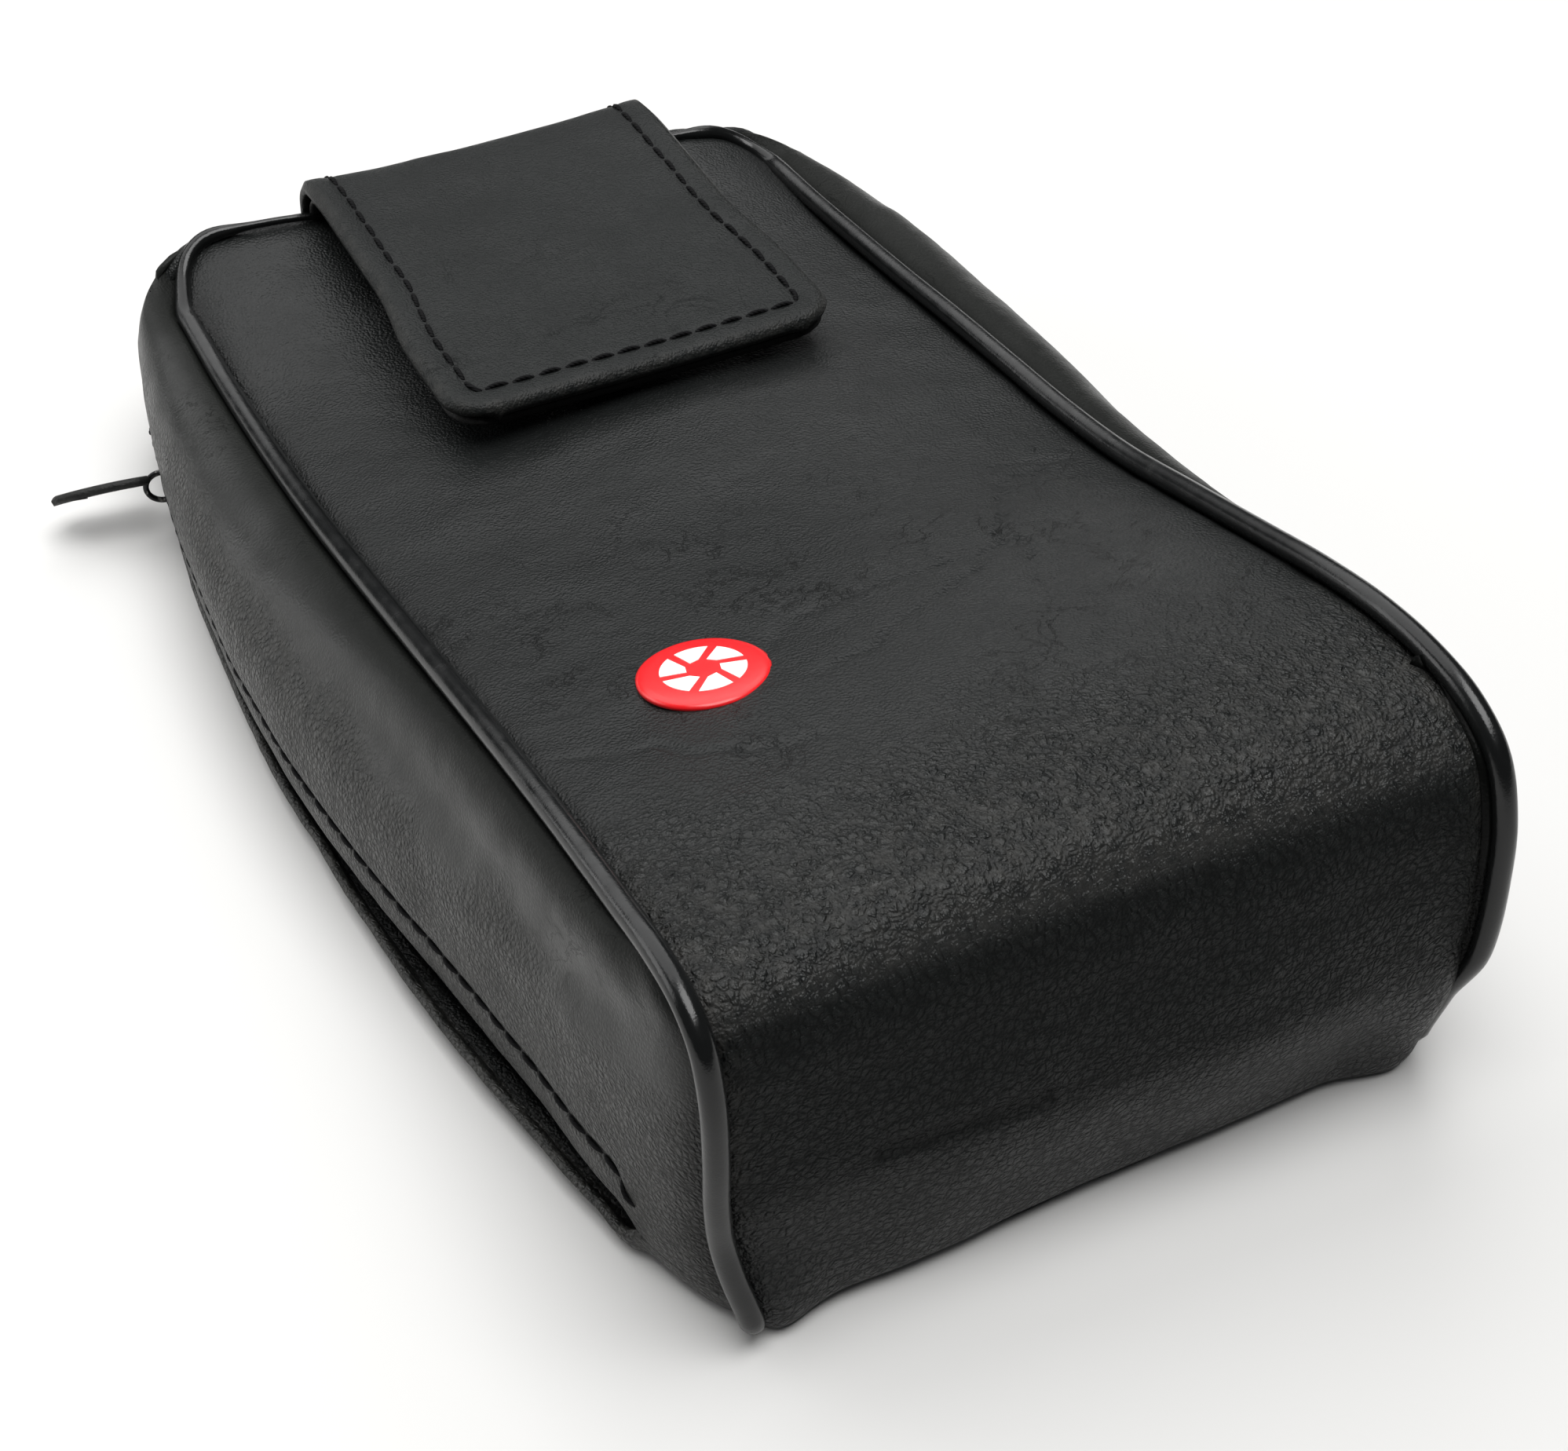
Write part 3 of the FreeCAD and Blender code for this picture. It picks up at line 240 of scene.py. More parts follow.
def sheet_points(outer, thickness):
    """Points and faces of a closed sheet whose outer face is a grid; its edges are rounded."""
    rows, cols = outer.shape[:2]
    normal = normals_of(outer)
    thickness = np.broadcast_to(np.asarray(thickness, float), (rows, cols))[..., None]
    inner = outer - normal * thickness
    rim = border(rows, cols)
    flat_outer, flat_inner = outer.reshape(-1, 3), inner.reshape(-1, 3)
    flat_normal = normal.reshape(-1, 3)
    ring = flat_outer[rim]
    tangent = unit(np.roll(ring, -1, axis=0) - np.roll(ring, 1, axis=0))
    outward = unit(np.cross(flat_normal[rim], tangent))
    centre = outer.mean(axis=(0, 1))
    if np.mean(np.sum(outward * (ring - centre), axis=1)) < 0:
        outward = -outward
    half = thickness.reshape(-1, 1)[rim] / 2
    mid = (flat_outer[rim] + flat_inner[rim]) / 2 + outward * half * 0.8
    points = np.concatenate([flat_outer, flat_inner, mid])
    total = rows * cols
    faces = grid_faces(rows, cols) + grid_faces(rows, cols, total, flip=True)
    count = len(rim)
    for here in range(count):
        after = (here + 1) % count
        faces.append([int(rim[here]), int(rim[after]), 2 * total + after, 2 * total + here])
        faces.append([2 * total + here, 2 * total + after, total + int(rim[after]), total + int(rim[here])])
    return points, faces, rim


def sheet(name, outer, thickness, material, slot, marks=None, **more):
    points, faces, rim = sheet_points(outer, thickness)
    piece = mesh_piece(name, points, faces, material, slot, **more)
    for key, value in (marks or {}).items():
        flat = np.broadcast_to(np.asarray(value, float), outer.shape[:2]).reshape(-1)
        mark(piece, **{key: np.concatenate([flat, flat, flat[rim]])})
    return piece


def frames(path):
    """Tangent, side and up directions along a path."""
    tangent = unit(np.gradient(path, axis=0))
    side = np.zeros_like(path)
    start = np.array([0.0, 0.0, 1.0])
    if abs(np.dot(start, tangent[0])) > 0.95:
        start = np.array([0.0, 1.0, 0.0])
    current = unit(np.cross(tangent[0], start))
    for number, direction in enumerate(tangent):
        current = unit(current - direction * np.dot(current, direction))
        side[number] = current
    return tangent, side, np.cross(side, tangent)


def ring_faces(rings, sides, closed=False):
    """The faces between neighbouring rings of points."""
    faces = []
    for ring in range(rings if closed else rings - 1):
        after = (ring + 1) % rings
        for number in range(sides):
            following = (number + 1) % sides
            faces.append([ring * sides + number, ring * sides + following,
                          after * sides + following, after * sides + number])
    return faces


def tube_points(path, radius, sides=12):
    """Points and faces of a rod along a path, with rounded ends."""
    path = np.asarray(path, float)
    tangent, side, rise = frames(path)
    radius = np.broadcast_to(np.asarray(radius, float), (len(path),))
    turn = np.linspace(0, 2 * math.pi, sides, endpoint=False)
    last = len(path) - 1
    slopes = [share * math.pi / 2 for share in (0.35, 0.8)]
    stations = [(0, -radius[0] * math.cos(slope), radius[0] * math.sin(slope)) for slope in slopes]
    stations += [(here, 0.0, radius[here]) for here in range(len(path))]
    stations += [(last, radius[-1] * math.cos(slope), radius[-1] * math.sin(slope)) for slope in slopes[::-1]]
    rings = []
    for here, shift, size in stations:
        centre = path[here] + tangent[here] * shift
        spread = np.cos(turn)[:, None] * side[here] + np.sin(turn)[:, None] * rise[here]
        rings.append(centre + size * spread)
    faces = ring_faces(len(rings), sides)
    faces.append(list(range(sides))[::-1])
    faces.append([(len(rings) - 1) * sides + number for number in range(sides)])
    return np.concatenate(rings), faces


def tube(name, path, radius, material, slot, sides=12, **more):
    points, faces = tube_points(path, radius, sides)
    return mesh_piece(name, points, faces, material, slot, **more)


def joined(name, parts, material, slot, **more):
    """One piece from several lists of points and faces."""
    points, faces, start = [], [], 0
    for part_points, part_faces in parts:
        points.append(part_points)
        faces += [[start + index for index in face] for face in part_faces]
        start += len(part_points)
    return mesh_piece(name, np.concatenate(points), faces, material, slot, **more)


def lathe_points(profile, centre, axis, sides=64):
    """A turned shape: profile is (radius, height) pairs from the axis back to the axis."""
    axis = unit(np.asarray(axis, float))
    side = unit(np.cross(axis, [0.0, 1.0, 0.3]))
    other = np.cross(axis, side)
    turn = np.linspace(0, 2 * math.pi, sides, endpoint=False)
    centre = np.asarray(centre, float)
    rings = [centre + height * axis + radius * (np.cos(turn)[:, None] * side + np.sin(turn)[:, None] * other)
             for radius, height in profile]
    points = np.concatenate(rings + [[centre + profile[0][1] * axis], [centre + profile[-1][1] * axis]])
    faces = ring_faces(len(profile), sides)
    first, last = len(points) - 2, len(points) - 1
    for number in range(sides):
        following = (number + 1) % sides
        faces.append([first, following, number])
        faces.append([last, (len(profile) - 1) * sides + number, (len(profile) - 1) * sides + following])
    return points, faces


def lathe(name, profile, centre, axis, material, slot, sides=64, **more):
    points, faces = lathe_points(profile, centre, axis, sides)
    return mesh_piece(name, points, faces, material, slot, **more)


def stitches(path, normal, length, gap, radius, sink=0.15, seed=1):
    """A row of thread stitches along a path; each dips into the leather at its ends."""
    rng = np.random.default_rng(seed)
    along = run_along(path)
    parts = []
    place = gap / 2
    while place + length < along[-1]:
        share = np.linspace(0, 1, 6)
        at = place + share * length * rng.uniform(0.94, 1.04)
        line = picked(path, along, at)
        up = picked(normal, along, at)
        lift = radius * (1.25 * np.sin(share * math.pi) ** 0.6) - sink - radius * 0.35
        sway = np.cross(unit(np.gradient(line, axis=0)), up) * rng.uniform(-0.06, 0.06)
        parts.append(tube_points(line + up * lift[:, None] + sway, radius, sides=7))
        place += length + gap
    return parts


# ---------------------------------------------------------------- materials
def shader(name, metallic=0.0, roughness=0.5, **sockets):
    material = bpy.data.materials.new(name)
    material.use_nodes = True
    principled = material.node_tree.nodes["Principled BSDF"]
    principled.inputs["Metallic"].default_value = metallic
    principled.inputs["Roughness"].default_value = roughness
    for socket, value in sockets.items():
        principled.inputs[socket.replace("_", " ")].default_value = value
    return material, material.node_tree, principled


def toned(colour, factor):
    """The same hue, darker or lighter."""
    return tuple(min(1, channel * factor) for channel in colour)


class Graph:
    """Short calls for making a material's nodes."""

    def __init__(self, tree):
        self.tree = tree
        self.coordinates = tree.nodes.new("ShaderNodeTexCoord").outputs["Object"]

    def node(self, kind, **settings):
        made = self.tree.nodes.new(kind)
        for key, value in settings.items():
            setattr(made, key, value)
        return made

    def link(self, source, target):
        self.tree.links.new(source, target)

    def put(self, socket, value):
        if isinstance(value, (int, float, tuple)):
            socket.default_value = value
        else:
            self.link(value, socket)

    def stretch(self, scale, turn=(0, 0, 0)):
        mapping = self.node("ShaderNodeMapping")
        mapping.inputs["Scale"].default_value = scale
        mapping.inputs["Rotation"].default_value = turn
        self.link(self.coordinates, mapping.inputs["Vector"])
        return mapping.outputs["Vector"]

    def noise(self, size, detail=3.0, rough=0.55, distortion=0.0, vector=None):
        made = self.node("ShaderNodeTexNoise")
        self.link(self.coordinates if vector is None else vector, made.inputs["Vector"])
        made.inputs["Scale"].default_value = 1 / (size * MM)
        made.inputs["Detail"].default_value = detail
        made.inputs["Roughness"].default_value = rough
        made.inputs["Distortion"].default_value = distortion
        return made.outputs["Fac"]

    def cells(self, size, feature="F1", vector=None, random=1.0):
        made = self.node("ShaderNodeTexVoronoi", feature=feature)
        self.link(self.coordinates if vector is None else vector, made.inputs["Vector"])
        made.inputs["Scale"].default_value = 1 / (size * MM)
        made.inputs["Randomness"].default_value = random
        return made.outputs["Distance"]

    def warp(self, size, amount, vector=None):
        """Coordinates pushed about by noise, amount in mm."""
        base = self.coordinates if vector is None else vector
        made = self.node("ShaderNodeTexNoise")
        self.link(base, made.inputs["Vector"])
        made.inputs["Scale"].default_value = 1 / (size * MM)
        made.inputs["Detail"].default_value = 2.0
        push = self.node("ShaderNodeVectorMath", operation="MULTIPLY_ADD")
        self.link(made.outputs["Color"], push.inputs[0])
        push.inputs[1].default_value = (amount * MM * 2,) * 3
        self.link(base, push.inputs[2])
        return push.outputs["Vector"]

    def math(self, operation, first, second=0.0, clamp=False):
        made = self.node("ShaderNodeMath", operation=operation, use_clamp=clamp)
        self.put(made.inputs[0], first)
        self.put(made.inputs[1], second)
        return made.outputs["Value"]

    def span(self, value, start, end, low_value=0.0, high_value=1.0):
        made = self.node("ShaderNodeMapRange", clamp=True)
        self.put(made.inputs["Value"], value)
        made.inputs["From Min"].default_value = start
        made.inputs["From Max"].default_value = end
        made.inputs["To Min"].default_value = low_value
        made.inputs["To Max"].default_value = high_value
        return made.outputs["Result"]

    def mix(self, factor, first, second):
        made = self.node("ShaderNodeMix", data_type="FLOAT")
        self.put(made.inputs[0], factor)
        self.put(made.inputs[2], first)
        self.put(made.inputs[3], second)
        return made.outputs[0]

    def tint(self, factor, first, second):
        made = self.node("ShaderNodeMix", data_type="RGBA")
        self.put(made.inputs[0], factor)
        for socket, value in ((made.inputs[6], first), (made.inputs[7], second)):
            if isinstance(value, tuple):
                socket.default_value = (*value, 1.0)
            else:
                self.link(value, socket)
        return made.outputs[2]

    def vertex(self, name):
        made = self.node("ShaderNodeAttribute", attribute_name=name)
        return made.outputs["Fac"]

    def relief(self, height, depth, under=None):
        """Raise or lower the surface by a height of 0 to 1 times depth, in mm."""
        made = self.node("ShaderNodeBump")
        made.inputs["Strength"].default_value = 1.0
        made.inputs["Distance"].default_value = depth * MM
        self.link(height, made.inputs["Height"])
        if under is not None:
            self.link(under, made.inputs["Normal"])
        return made.outputs["Normal"]


def leather(name, colour, fine=0.35, coarse=0.8, fine_depth=0.035, coarse_depth=0.13, roughness=0.46,
            wear_colour=(0.06, 0.058, 0.053), gloss=0.2):
    """Grained leather. Vertices mark its pebbling, wear, painted shade and painted dark reflection."""
    material, tree, principled = shader(name, roughness=roughness, Specular_IOR_Level=gloss)
    graph = Graph(tree)
    pebbled = graph.vertex("pebble")
    bent = graph.warp(2.2, 0.35)
    fine_cells = graph.span(graph.cells(fine, vector=bent), 0.1, 0.75, 1.0, 0.0)
    fine_noise = graph.noise(fine * 0.5, detail=2.0)
    fine_height = graph.mix(0.35, fine_cells, fine_noise)
    coarse_cells = graph.span(graph.cells(coarse, vector=bent), 0.08, 0.85, 1.0, 0.0)
    coarse_edges = graph.span(graph.cells(coarse, "DISTANCE_TO_EDGE", vector=bent), 0.0, 0.15)
    coarse_height = graph.math("MULTIPLY", coarse_cells, coarse_edges)
    coarse_height = graph.mix(0.3, coarse_height, fine_height)
    wave = graph.noise(7.0, detail=6.0, rough=0.62, distortion=0.6, vector=graph.warp(2.0, 0.8))
    ridge = graph.math("ABSOLUTE", graph.math("SUBTRACT", wave, 0.5))
    wrinkles = graph.span(ridge, 0.0, 0.011, 1.0, 0.0)
    patch = graph.span(graph.noise(16.0, detail=2.0), 0.46, 0.6)
    wrinkles = graph.math("MULTIPLY", wrinkles, graph.math("MULTIPLY", patch, graph.vertex("cracked")))
    normal = graph.relief(fine_height, fine_depth)
    deep = graph.math("MULTIPLY", coarse_height, pebbled)
    normal = graph.relief(deep, coarse_depth, normal)
    normal = graph.relief(graph.math("SUBTRACT", 1.0, wrinkles), 0.10, normal)
    normal = graph.relief(graph.noise(9.0, detail=2.0), 0.12, normal)
    graph.link(normal, principled.inputs["Normal"])
    dark = toned(colour, 0.4)
    light = toned(colour, 2.0)
    mottled = graph.span(graph.noise(14.0, detail=5.0, rough=0.6), 0.3, 0.7)
    base = graph.tint(mottled, toned(colour, 0.88), toned(colour, 1.1))
    fine_valley = graph.span(fine_height, 0.0, 0.5, 0.25, 0.0)
    coarse_valley = graph.span(coarse_height, 0.0, 0.45, 0.8, 0.0)
    valley = graph.mix(pebbled, fine_valley, coarse_valley)
    base = graph.tint(valley, base, dark)
    base = graph.tint(graph.math("MULTIPLY", wrinkles, 0.7), base, dark)
    worn = graph.math("MULTIPLY", graph.vertex("wear"), graph.span(graph.noise(1.6, detail=4.0), 0.35, 0.7))
    base = graph.tint(worn, base, wear_colour)
    crest_share = graph.math("MULTIPLY", pebbled, 0.35)
    crest = graph.math("MULTIPLY", graph.span(coarse_height, 0.55, 0.9), crest_share)
    base = graph.tint(crest, base, light)
    # painted shade: the colour goes darker where the vertex mark says, in grooves, valleys and seams
    base = graph.tint(graph.vertex("shade"), base, toned(colour, 0.18))
    graph.link(base, principled.inputs["Base Color"])
    rough = graph.span(graph.noise(6.0, detail=4.0), 0.3, 0.7, roughness - 0.07, roughness + 0.09)
    rough = graph.mix(valley, rough, min(1.0, roughness + 0.3))
    graph.link(rough, principled.inputs["Roughness"])
    # painted dark reflection: the gloss drops where the vertex mark says, standing in for dark surroundings
    graph.link(graph.mix(graph.vertex("painted_dark_reflection"), gloss, gloss * 0.15), principled.inputs["Specular IOR Level"])
    return material


def smooth_leather(name, colour, roughness=0.25, grain=0.2, gloss=0.5):
    """Thin glossy leather pulled tight, as on piping or a turned edge."""
    material, tree, principled = shader(name, roughness=roughness, Specular_IOR_Level=gloss)
    graph = Graph(tree)
    grain_height = graph.mix(0.5, graph.noise(grain, detail=2.0), graph.noise(grain * 6, detail=3.0))
    graph.link(graph.relief(grain_height, 0.03), principled.inputs["Normal"])
    mottled = graph.span(graph.noise(4.0, detail=4.0), 0.3, 0.7)
    base = graph.tint(mottled, toned(colour, 0.8), toned(colour, 1.25))
    graph.link(base, principled.inputs["Base Color"])
    graph.link(graph.span(graph.noise(2.2, detail=4.0), 0.3, 0.7, roughness - 0.06, roughness + 0.1),
               principled.inputs["Roughness"])
    return material


def woven(name, colour, pitch, depth, roughness=0.8, sheen=0.3, turn=0.6):
    """Cloth with crossed threads."""
    material, tree, principled = shader(name, roughness=roughness, Sheen_Weight=sheen, Sheen_Roughness=0.5,
                                        Specular_IOR_Level=0.25)
    graph = Graph(tree)
    waves = []
    for direction in ("X", "Y"):
        wave = graph.node("ShaderNodeTexWave", bands_direction=direction)
        wave.inputs["Scale"].default_value = 1 / (pitch * MM) / 3.2
        wave.inputs["Distortion"].default_value = 0.6
        wave.inputs["Detail"].default_value = 1.0
        graph.link(graph.stretch((1, 1, 1), (0.4, 0.3, turn)), wave.inputs["Vector"])
        waves.append(wave.outputs["Fac"])
    height = graph.math("MULTIPLY", waves[0], waves[1])
    height = graph.mix(0.3, height, graph.noise(0.15, detail=2.0))
    graph.link(graph.relief(height, depth), principled.inputs["Normal"])
    fibre = graph.span(graph.noise(1.2, detail=5.0), 0.25, 0.75)
    base = graph.tint(fibre, toned(colour, 0.7), toned(colour, 1.4))
    base = graph.tint(graph.span(height, 0.1, 0.6), toned(colour, 0.5), base)
    graph.link(base, principled.inputs["Base Color"])
    return material


def thread_material(name, colour):
    """Waxed twisted thread."""
    material, tree, principled = shader(name, roughness=0.75, Specular_IOR_Level=0.12)
    graph = Graph(tree)
    wave = graph.node("ShaderNodeTexWave", bands_direction="DIAGONAL")
    wave.inputs["Scale"].default_value = 1100.0
    graph.link(graph.coordinates, wave.inputs["Vector"])
    graph.link(graph.relief(wave.outputs["Fac"], 0.06), principled.inputs["Normal"])
    base = graph.tint(wave.outputs["Fac"], toned(colour, 0.5), colour)
    graph.link(base, principled.inputs["Base Color"])
    return material


def metal(name, colour, roughness, metallic=1.0, worn_colour=None, worn=0.0):
    """Metal or enamelled metal with fine scratches and rubbed spots."""
    material, tree, principled = shader(name, metallic=metallic, roughness=roughness)
    graph = Graph(tree)
    scratch = graph.noise(0.25, detail=4.0, vector=graph.stretch((1, 12, 1), (0.3, 0.2, 0.5)))
    graph.link(graph.relief(scratch, 0.006), principled.inputs["Normal"])
    blotch = graph.span(graph.noise(1.5, detail=5.0), 0.3, 0.7)
    base = graph.tint(blotch, toned(colour, 0.85), toned(colour, 1.12))
    if worn_colour:
        rubbed = graph.math("MULTIPLY", graph.span(graph.noise(0.8, detail=5.0), 0.6, 0.66), worn)
        base = graph.tint(rubbed, base, worn_colour)
    graph.link(base, principled.inputs["Base Color"])
    rough = graph.span(scratch, 0.3, 0.7, roughness * 0.75, roughness * 1.3)
    graph.link(rough, principled.inputs["Roughness"])
    return material


def enamel(name, colour, roughness=0.3):
    """Glossy enamel with a faint orange peel and tiny scratches."""
    material, tree, principled = shader(name, roughness=roughness, Coat_Weight=0.15, Coat_Roughness=0.2)
    graph = Graph(tree)
    graph.link(graph.relief(graph.noise(1.6, detail=3.0), 0.02), principled.inputs["Normal"])
    tone = graph.span(graph.noise(3.0, detail=4.0), 0.3, 0.7)
    base = graph.tint(tone, toned(colour, 0.93), toned(colour, 1.05))
    graph.link(base, principled.inputs["Base Color"])
    rough = graph.span(graph.noise(0.5, detail=4.0), 0.4, 0.8, roughness, roughness + 0.12)
    graph.link(rough, principled.inputs["Roughness"])
    return material


def foam_material(name, colour):
    """Open-cell foam."""
    material, tree, principled = shader(name, roughness=0.95, Specular_IOR_Level=0.15)
    graph = Graph(tree)
    holes = graph.span(graph.cells(0.55, vector=graph.warp(1.0, 0.2)), 0.15, 0.6, 0.0, 1.0)
    graph.link(graph.relief(holes, 0.18), principled.inputs["Normal"])
    graph.link(graph.tint(holes, toned(colour, 0.45), colour), principled.inputs["Base Color"])
    return material


def board_material(name, colour):
    """Pressed fibre board."""
    material, tree, principled = shader(name, roughness=0.8)
    graph = Graph(tree)
    fibres = graph.noise(0.5, detail=5.0, rough=0.7, vector=graph.stretch((1, 3, 1)))
    graph.link(graph.relief(fibres, 0.05), principled.inputs["Normal"])
    graph.link(graph.tint(graph.span(fibres, 0.3, 0.7), toned(colour, 0.7), colour),
               principled.inputs["Base Color"])
    return material


SHELL = leather("shell_leather", (0.0080, 0.0090, 0.0088), coarse=0.95, fine_depth=0.09, coarse_depth=0.25,
                roughness=0.38, gloss=0.26)
GUSSET = leather("gusset_leather", (0.0115, 0.0123, 0.0113), coarse=0.7, coarse_depth=0.26, roughness=0.36,
                 gloss=0.32)
FLAP_LEATHER = leather("flap_leather", (0.0075, 0.0088, 0.0085), fine=0.3, fine_depth=0.08, roughness=0.44)
BACKING = leather("flap_lining_leather", (0.010, 0.010, 0.010), fine=0.5, fine_depth=0.03, roughness=0.55)
PIPING = smooth_leather("piping_leather", (0.0050, 0.0054, 0.0054), roughness=0.18, gloss=0.36)
TAB_LEATHER = leather("tab_leather", (0.010, 0.0105, 0.010), fine=0.3, roughness=0.5)
CORD = thread_material("cord", (0.62, 0.6, 0.54))
THREAD = thread_material("thread", (0.004, 0.004, 0.0045))
TAPE = woven("zip_tape", (0.010, 0.010, 0.011), 0.5, 0.08)
LINING = woven("lining_cloth", (0.025, 0.025, 0.027), 0.45, 0.05, sheen=0.5)
COIL = smooth_leather("zip_coil", (0.010, 0.010, 0.011), roughness=0.3, grain=0.1)
BLACK_METAL = metal("black_metal", (0.014, 0.014, 0.015), 0.32, metallic=0.6,
                    worn_colour=(0.35, 0.34, 0.32), worn=0.5)
STEEL = metal("closure_steel", (0.55, 0.54, 0.52), 0.28)
RED = enamel("badge_red", (0.78, 0.006, 0.01))
WHITE = enamel("badge_white", (0.86, 0.86, 0.83), roughness=0.3)
FOAM = foam_material("foam", (0.12, 0.12, 0.13))
BOARD = board_material("board", (0.20, 0.15, 0.10))


# ---------------------------------------------------------------- the pouch's surfaces
PANEL_STEP = 0.55
# how far the panel's middle stands above its seams, as (Y, height)
CROWN_PLACES = [(80, 4.6), (72, 4.2), (62, 3.4), (50, 2.3), (42, 1.9), (30, 1.9), (10, 2.0),
                (-10, 1.8), (-30, 1.7), (-50, 1.6), (-64, 1.2), (-80, 1.2)]

LEFT_LINE = curve(LEFT_SEAM, step=PANEL_STEP)
ROWS = len(LEFT_LINE)
RIGHT_LINE = curve(RIGHT_SEAM, count=ROWS)


def seam_normals(line):
    """Outward directions of a seam, in its own upright plane."""
    tangent = unit(np.gradient(line, axis=0))
    tangent[:, 0] = 0
    tangent = unit(tangent)
    return np.stack([np.zeros(len(line)), tangent[:, 2], -tangent[:, 1]], 1)


LEFT_OUT = seam_normals(LEFT_LINE)
RIGHT_OUT = seam_normals(RIGHT_LINE)


def near_mouth(y):
    return ease((y - 50) / 22.4)


def mouth_at(x):
    """Y and Z of the panel's edge along the mouth."""
    return np.stack([np.interp(x, MOUTH_LINE[:, 0], MOUTH_LINE[:, axis]) for axis in (1, 2)], -1)


def panel_grid(inset=0.0, cols=None, tuck=1.0):
    """The front and base as one surface, from the mouth to the floor and from seam to seam."""
    cols = cols or round(2 * SEAM_X / PANEL_STEP)
    across = np.linspace(-1, 1, cols)
    share = (across + 1)[None, :, None] / 2
    grid = LEFT_LINE[:, None] * (1 - share) + RIGHT_LINE[:, None] * share
    out = unit(LEFT_OUT[:, None] * (1 - share) + RIGHT_OUT[:, None] * share)
    out = np.broadcast_to(out, grid.shape)
    places = np.array(CROWN_PLACES)[::-1]
    front = np.interp(grid[..., 1], places[:, 0], places[:, 1])
    facing_base = ease((-out[..., 1] - 0.2) / 0.6)
    crown = front * (1 - facing_base) + 1.8 * np.sin(np.clip(grid[..., 2] / 30, 0, 1) * math.pi) * facing_base
    flatness = 1 - np.abs(across) ** 2.4
    lift = crown * flatness[None, :]
    edge = (1 - np.abs(across)) * SEAM_X
    low_base = facing_base * ease((20 - grid[..., 2]) / 10)
    right_swell = np.maximum(bump(SEAM_X - 3.5 - across * SEAM_X, 5.0), 0)[None, :] * low_base * tuck
    left_swell = (bump(across * SEAM_X + SEAM_X - 3.0, 4.0)[None, :]
                  * ease((11 - grid[..., 2]) / 8) * low_base * tuck)
    lift = lift - 0.5 - 0.8 * bump(edge, 1.6)[None, :] * tuck + 1.5 * right_swell + left_swell
    grid = grid + out * (lift - inset)[..., None]
    shift = mouth_at(grid[0, :, 0]) - grid[0, :, 1:] - inset * np.array([0.0, 1.0])
    grid[..., 1:] += shift * near_mouth(grid[..., 1:2])
    return grid, out, np.broadcast_to(edge, lift.shape)


def crease_lines():
    """The main creases of the panel: a line of (x, y) points, a depth and a width."""
    return [
        ([(-37, -33), (-34, -34), (-30, -36), (-26, -38), (-24, -40), (-20, -43), (-14, -45)], 0.34, 0.55),
        ([(-13, -31), (-10, -28), (-7, -25), (-3, -25), (1, -24.5), (5, -24.5), (9, -24), (13, -25)],
         0.30, 0.5),
        ([(13, -25), (17, -23), (19, -19), (22, -15), (24, -12), (27, -10), (33, -9.5)], 0.34, 0.5),
        ([(-12, -35), (-7, -35), (-3, -34), (3, -31), (8, -29), (12, -27), (15, -24.5)], 0.22, 0.45),
        ([(-7, -30), (-3, -28.5), (1, -26.5)], 0.16, 0.4),
        ([(19, -23), (17, -28), (15, -33)], 0.2, 0.4),
        ([(6, -20), (8, -23), (12, -23)], 0.2, 0.4),
        ([(11, -15), (12, -17), (9, -23)], 0.14, 0.4),
        ([(23, -8), (26, -7.5), (30, -8.5), (33, -9.5)], 0.22, 0.4),
        ([(20, -16), (25, -13), (30, -11)], 0.18, 0.4),
        ([(-36, -25), (-33, -26), (-30, -28)], 0.14, 0.4),
        ([(-36, -39), (-33, -40), (-30, -41)], 0.12, 0.4),
        ([(-21, -17), (-18, -21), (-16, -25), (-13, -28)], 0.1, 0.4),
        ([(1, -47), (0, -50), (1, -53)], 0.12, 0.4),
        ([(7, -37), (7, -41), (6, -45)], 0.12, 0.4),
        ([(18, -38), (17, -42), (14, -46)], 0.12, 0.4),
    ]


def crease_depth(grid):
    """How deep the creases lie at each point of the panel, in mm."""
    depth = np.zeros(grid.shape[:2])
    wobble = np.stack([fractal(grid, 3.0, 40), fractal(grid, 3.0, 50)], -1) * 0.9
    place = grid[..., :2] + wobble
    for points, deep, width in crease_lines():
        line = np.array(points, float)
        nearest = np.full(grid.shape[:2], 1e9)
        for start, end in zip(line, line[1:]):
            span = end - start
            share = np.clip(((place - start) @ span) / (span @ span), 0, 1)
            gap = np.linalg.norm(place - start - share[..., None] * span, axis=-1)
            nearest = np.minimum(nearest, gap)
        broken = 0.6 + 0.5 * noise_at(grid, 2.5, 60)
        depth = np.maximum(depth, deep * broken * bump(nearest, width))
        depth = depth - 0.22 * deep * bump(nearest - 2.2 * width, width)
    return depth


panel, panel_out, panel_edge = panel_grid()
facing_up = ease((panel_out[..., 2] - 0.5) / 0.4)
creases = crease_depth(panel) * facing_up
soft_waves = 0.35 * fractal(panel, 26, 3) + 0.16 * fractal(panel, 9, 7)
seam_puckers = 0.10 * noise_at(panel * np.array([0.3, 1, 1]), 3.2, 9) * bump(panel_edge, 4.0)
near_turn = bump(panel[..., 1] + 70, 16) * ease((panel[..., 2] - 8) / 20)
turn_folds = 0.22 * fractal(panel * np.array([0.35, 1.4, 1.0]), 7, 15) * near_turn
beside = np.maximum(np.abs(panel[..., 0] + 15.0) - 7.5, 0)
mark_edge = 1.5 - np.hypot(beside, panel[..., 2] - 20.0)
pressed = ease(mark_edge / 0.7) * ease((-panel_out[..., 1] - 0.7) / 0.2)
fade = ease(panel_edge / 2.5)
moved = soft_waves * fade + seam_puckers + turn_folds * fade - creases * fade - 0.3 * pressed
panel = panel + panel_out * moved[..., None]
FLOOR_LIMIT = 0.15
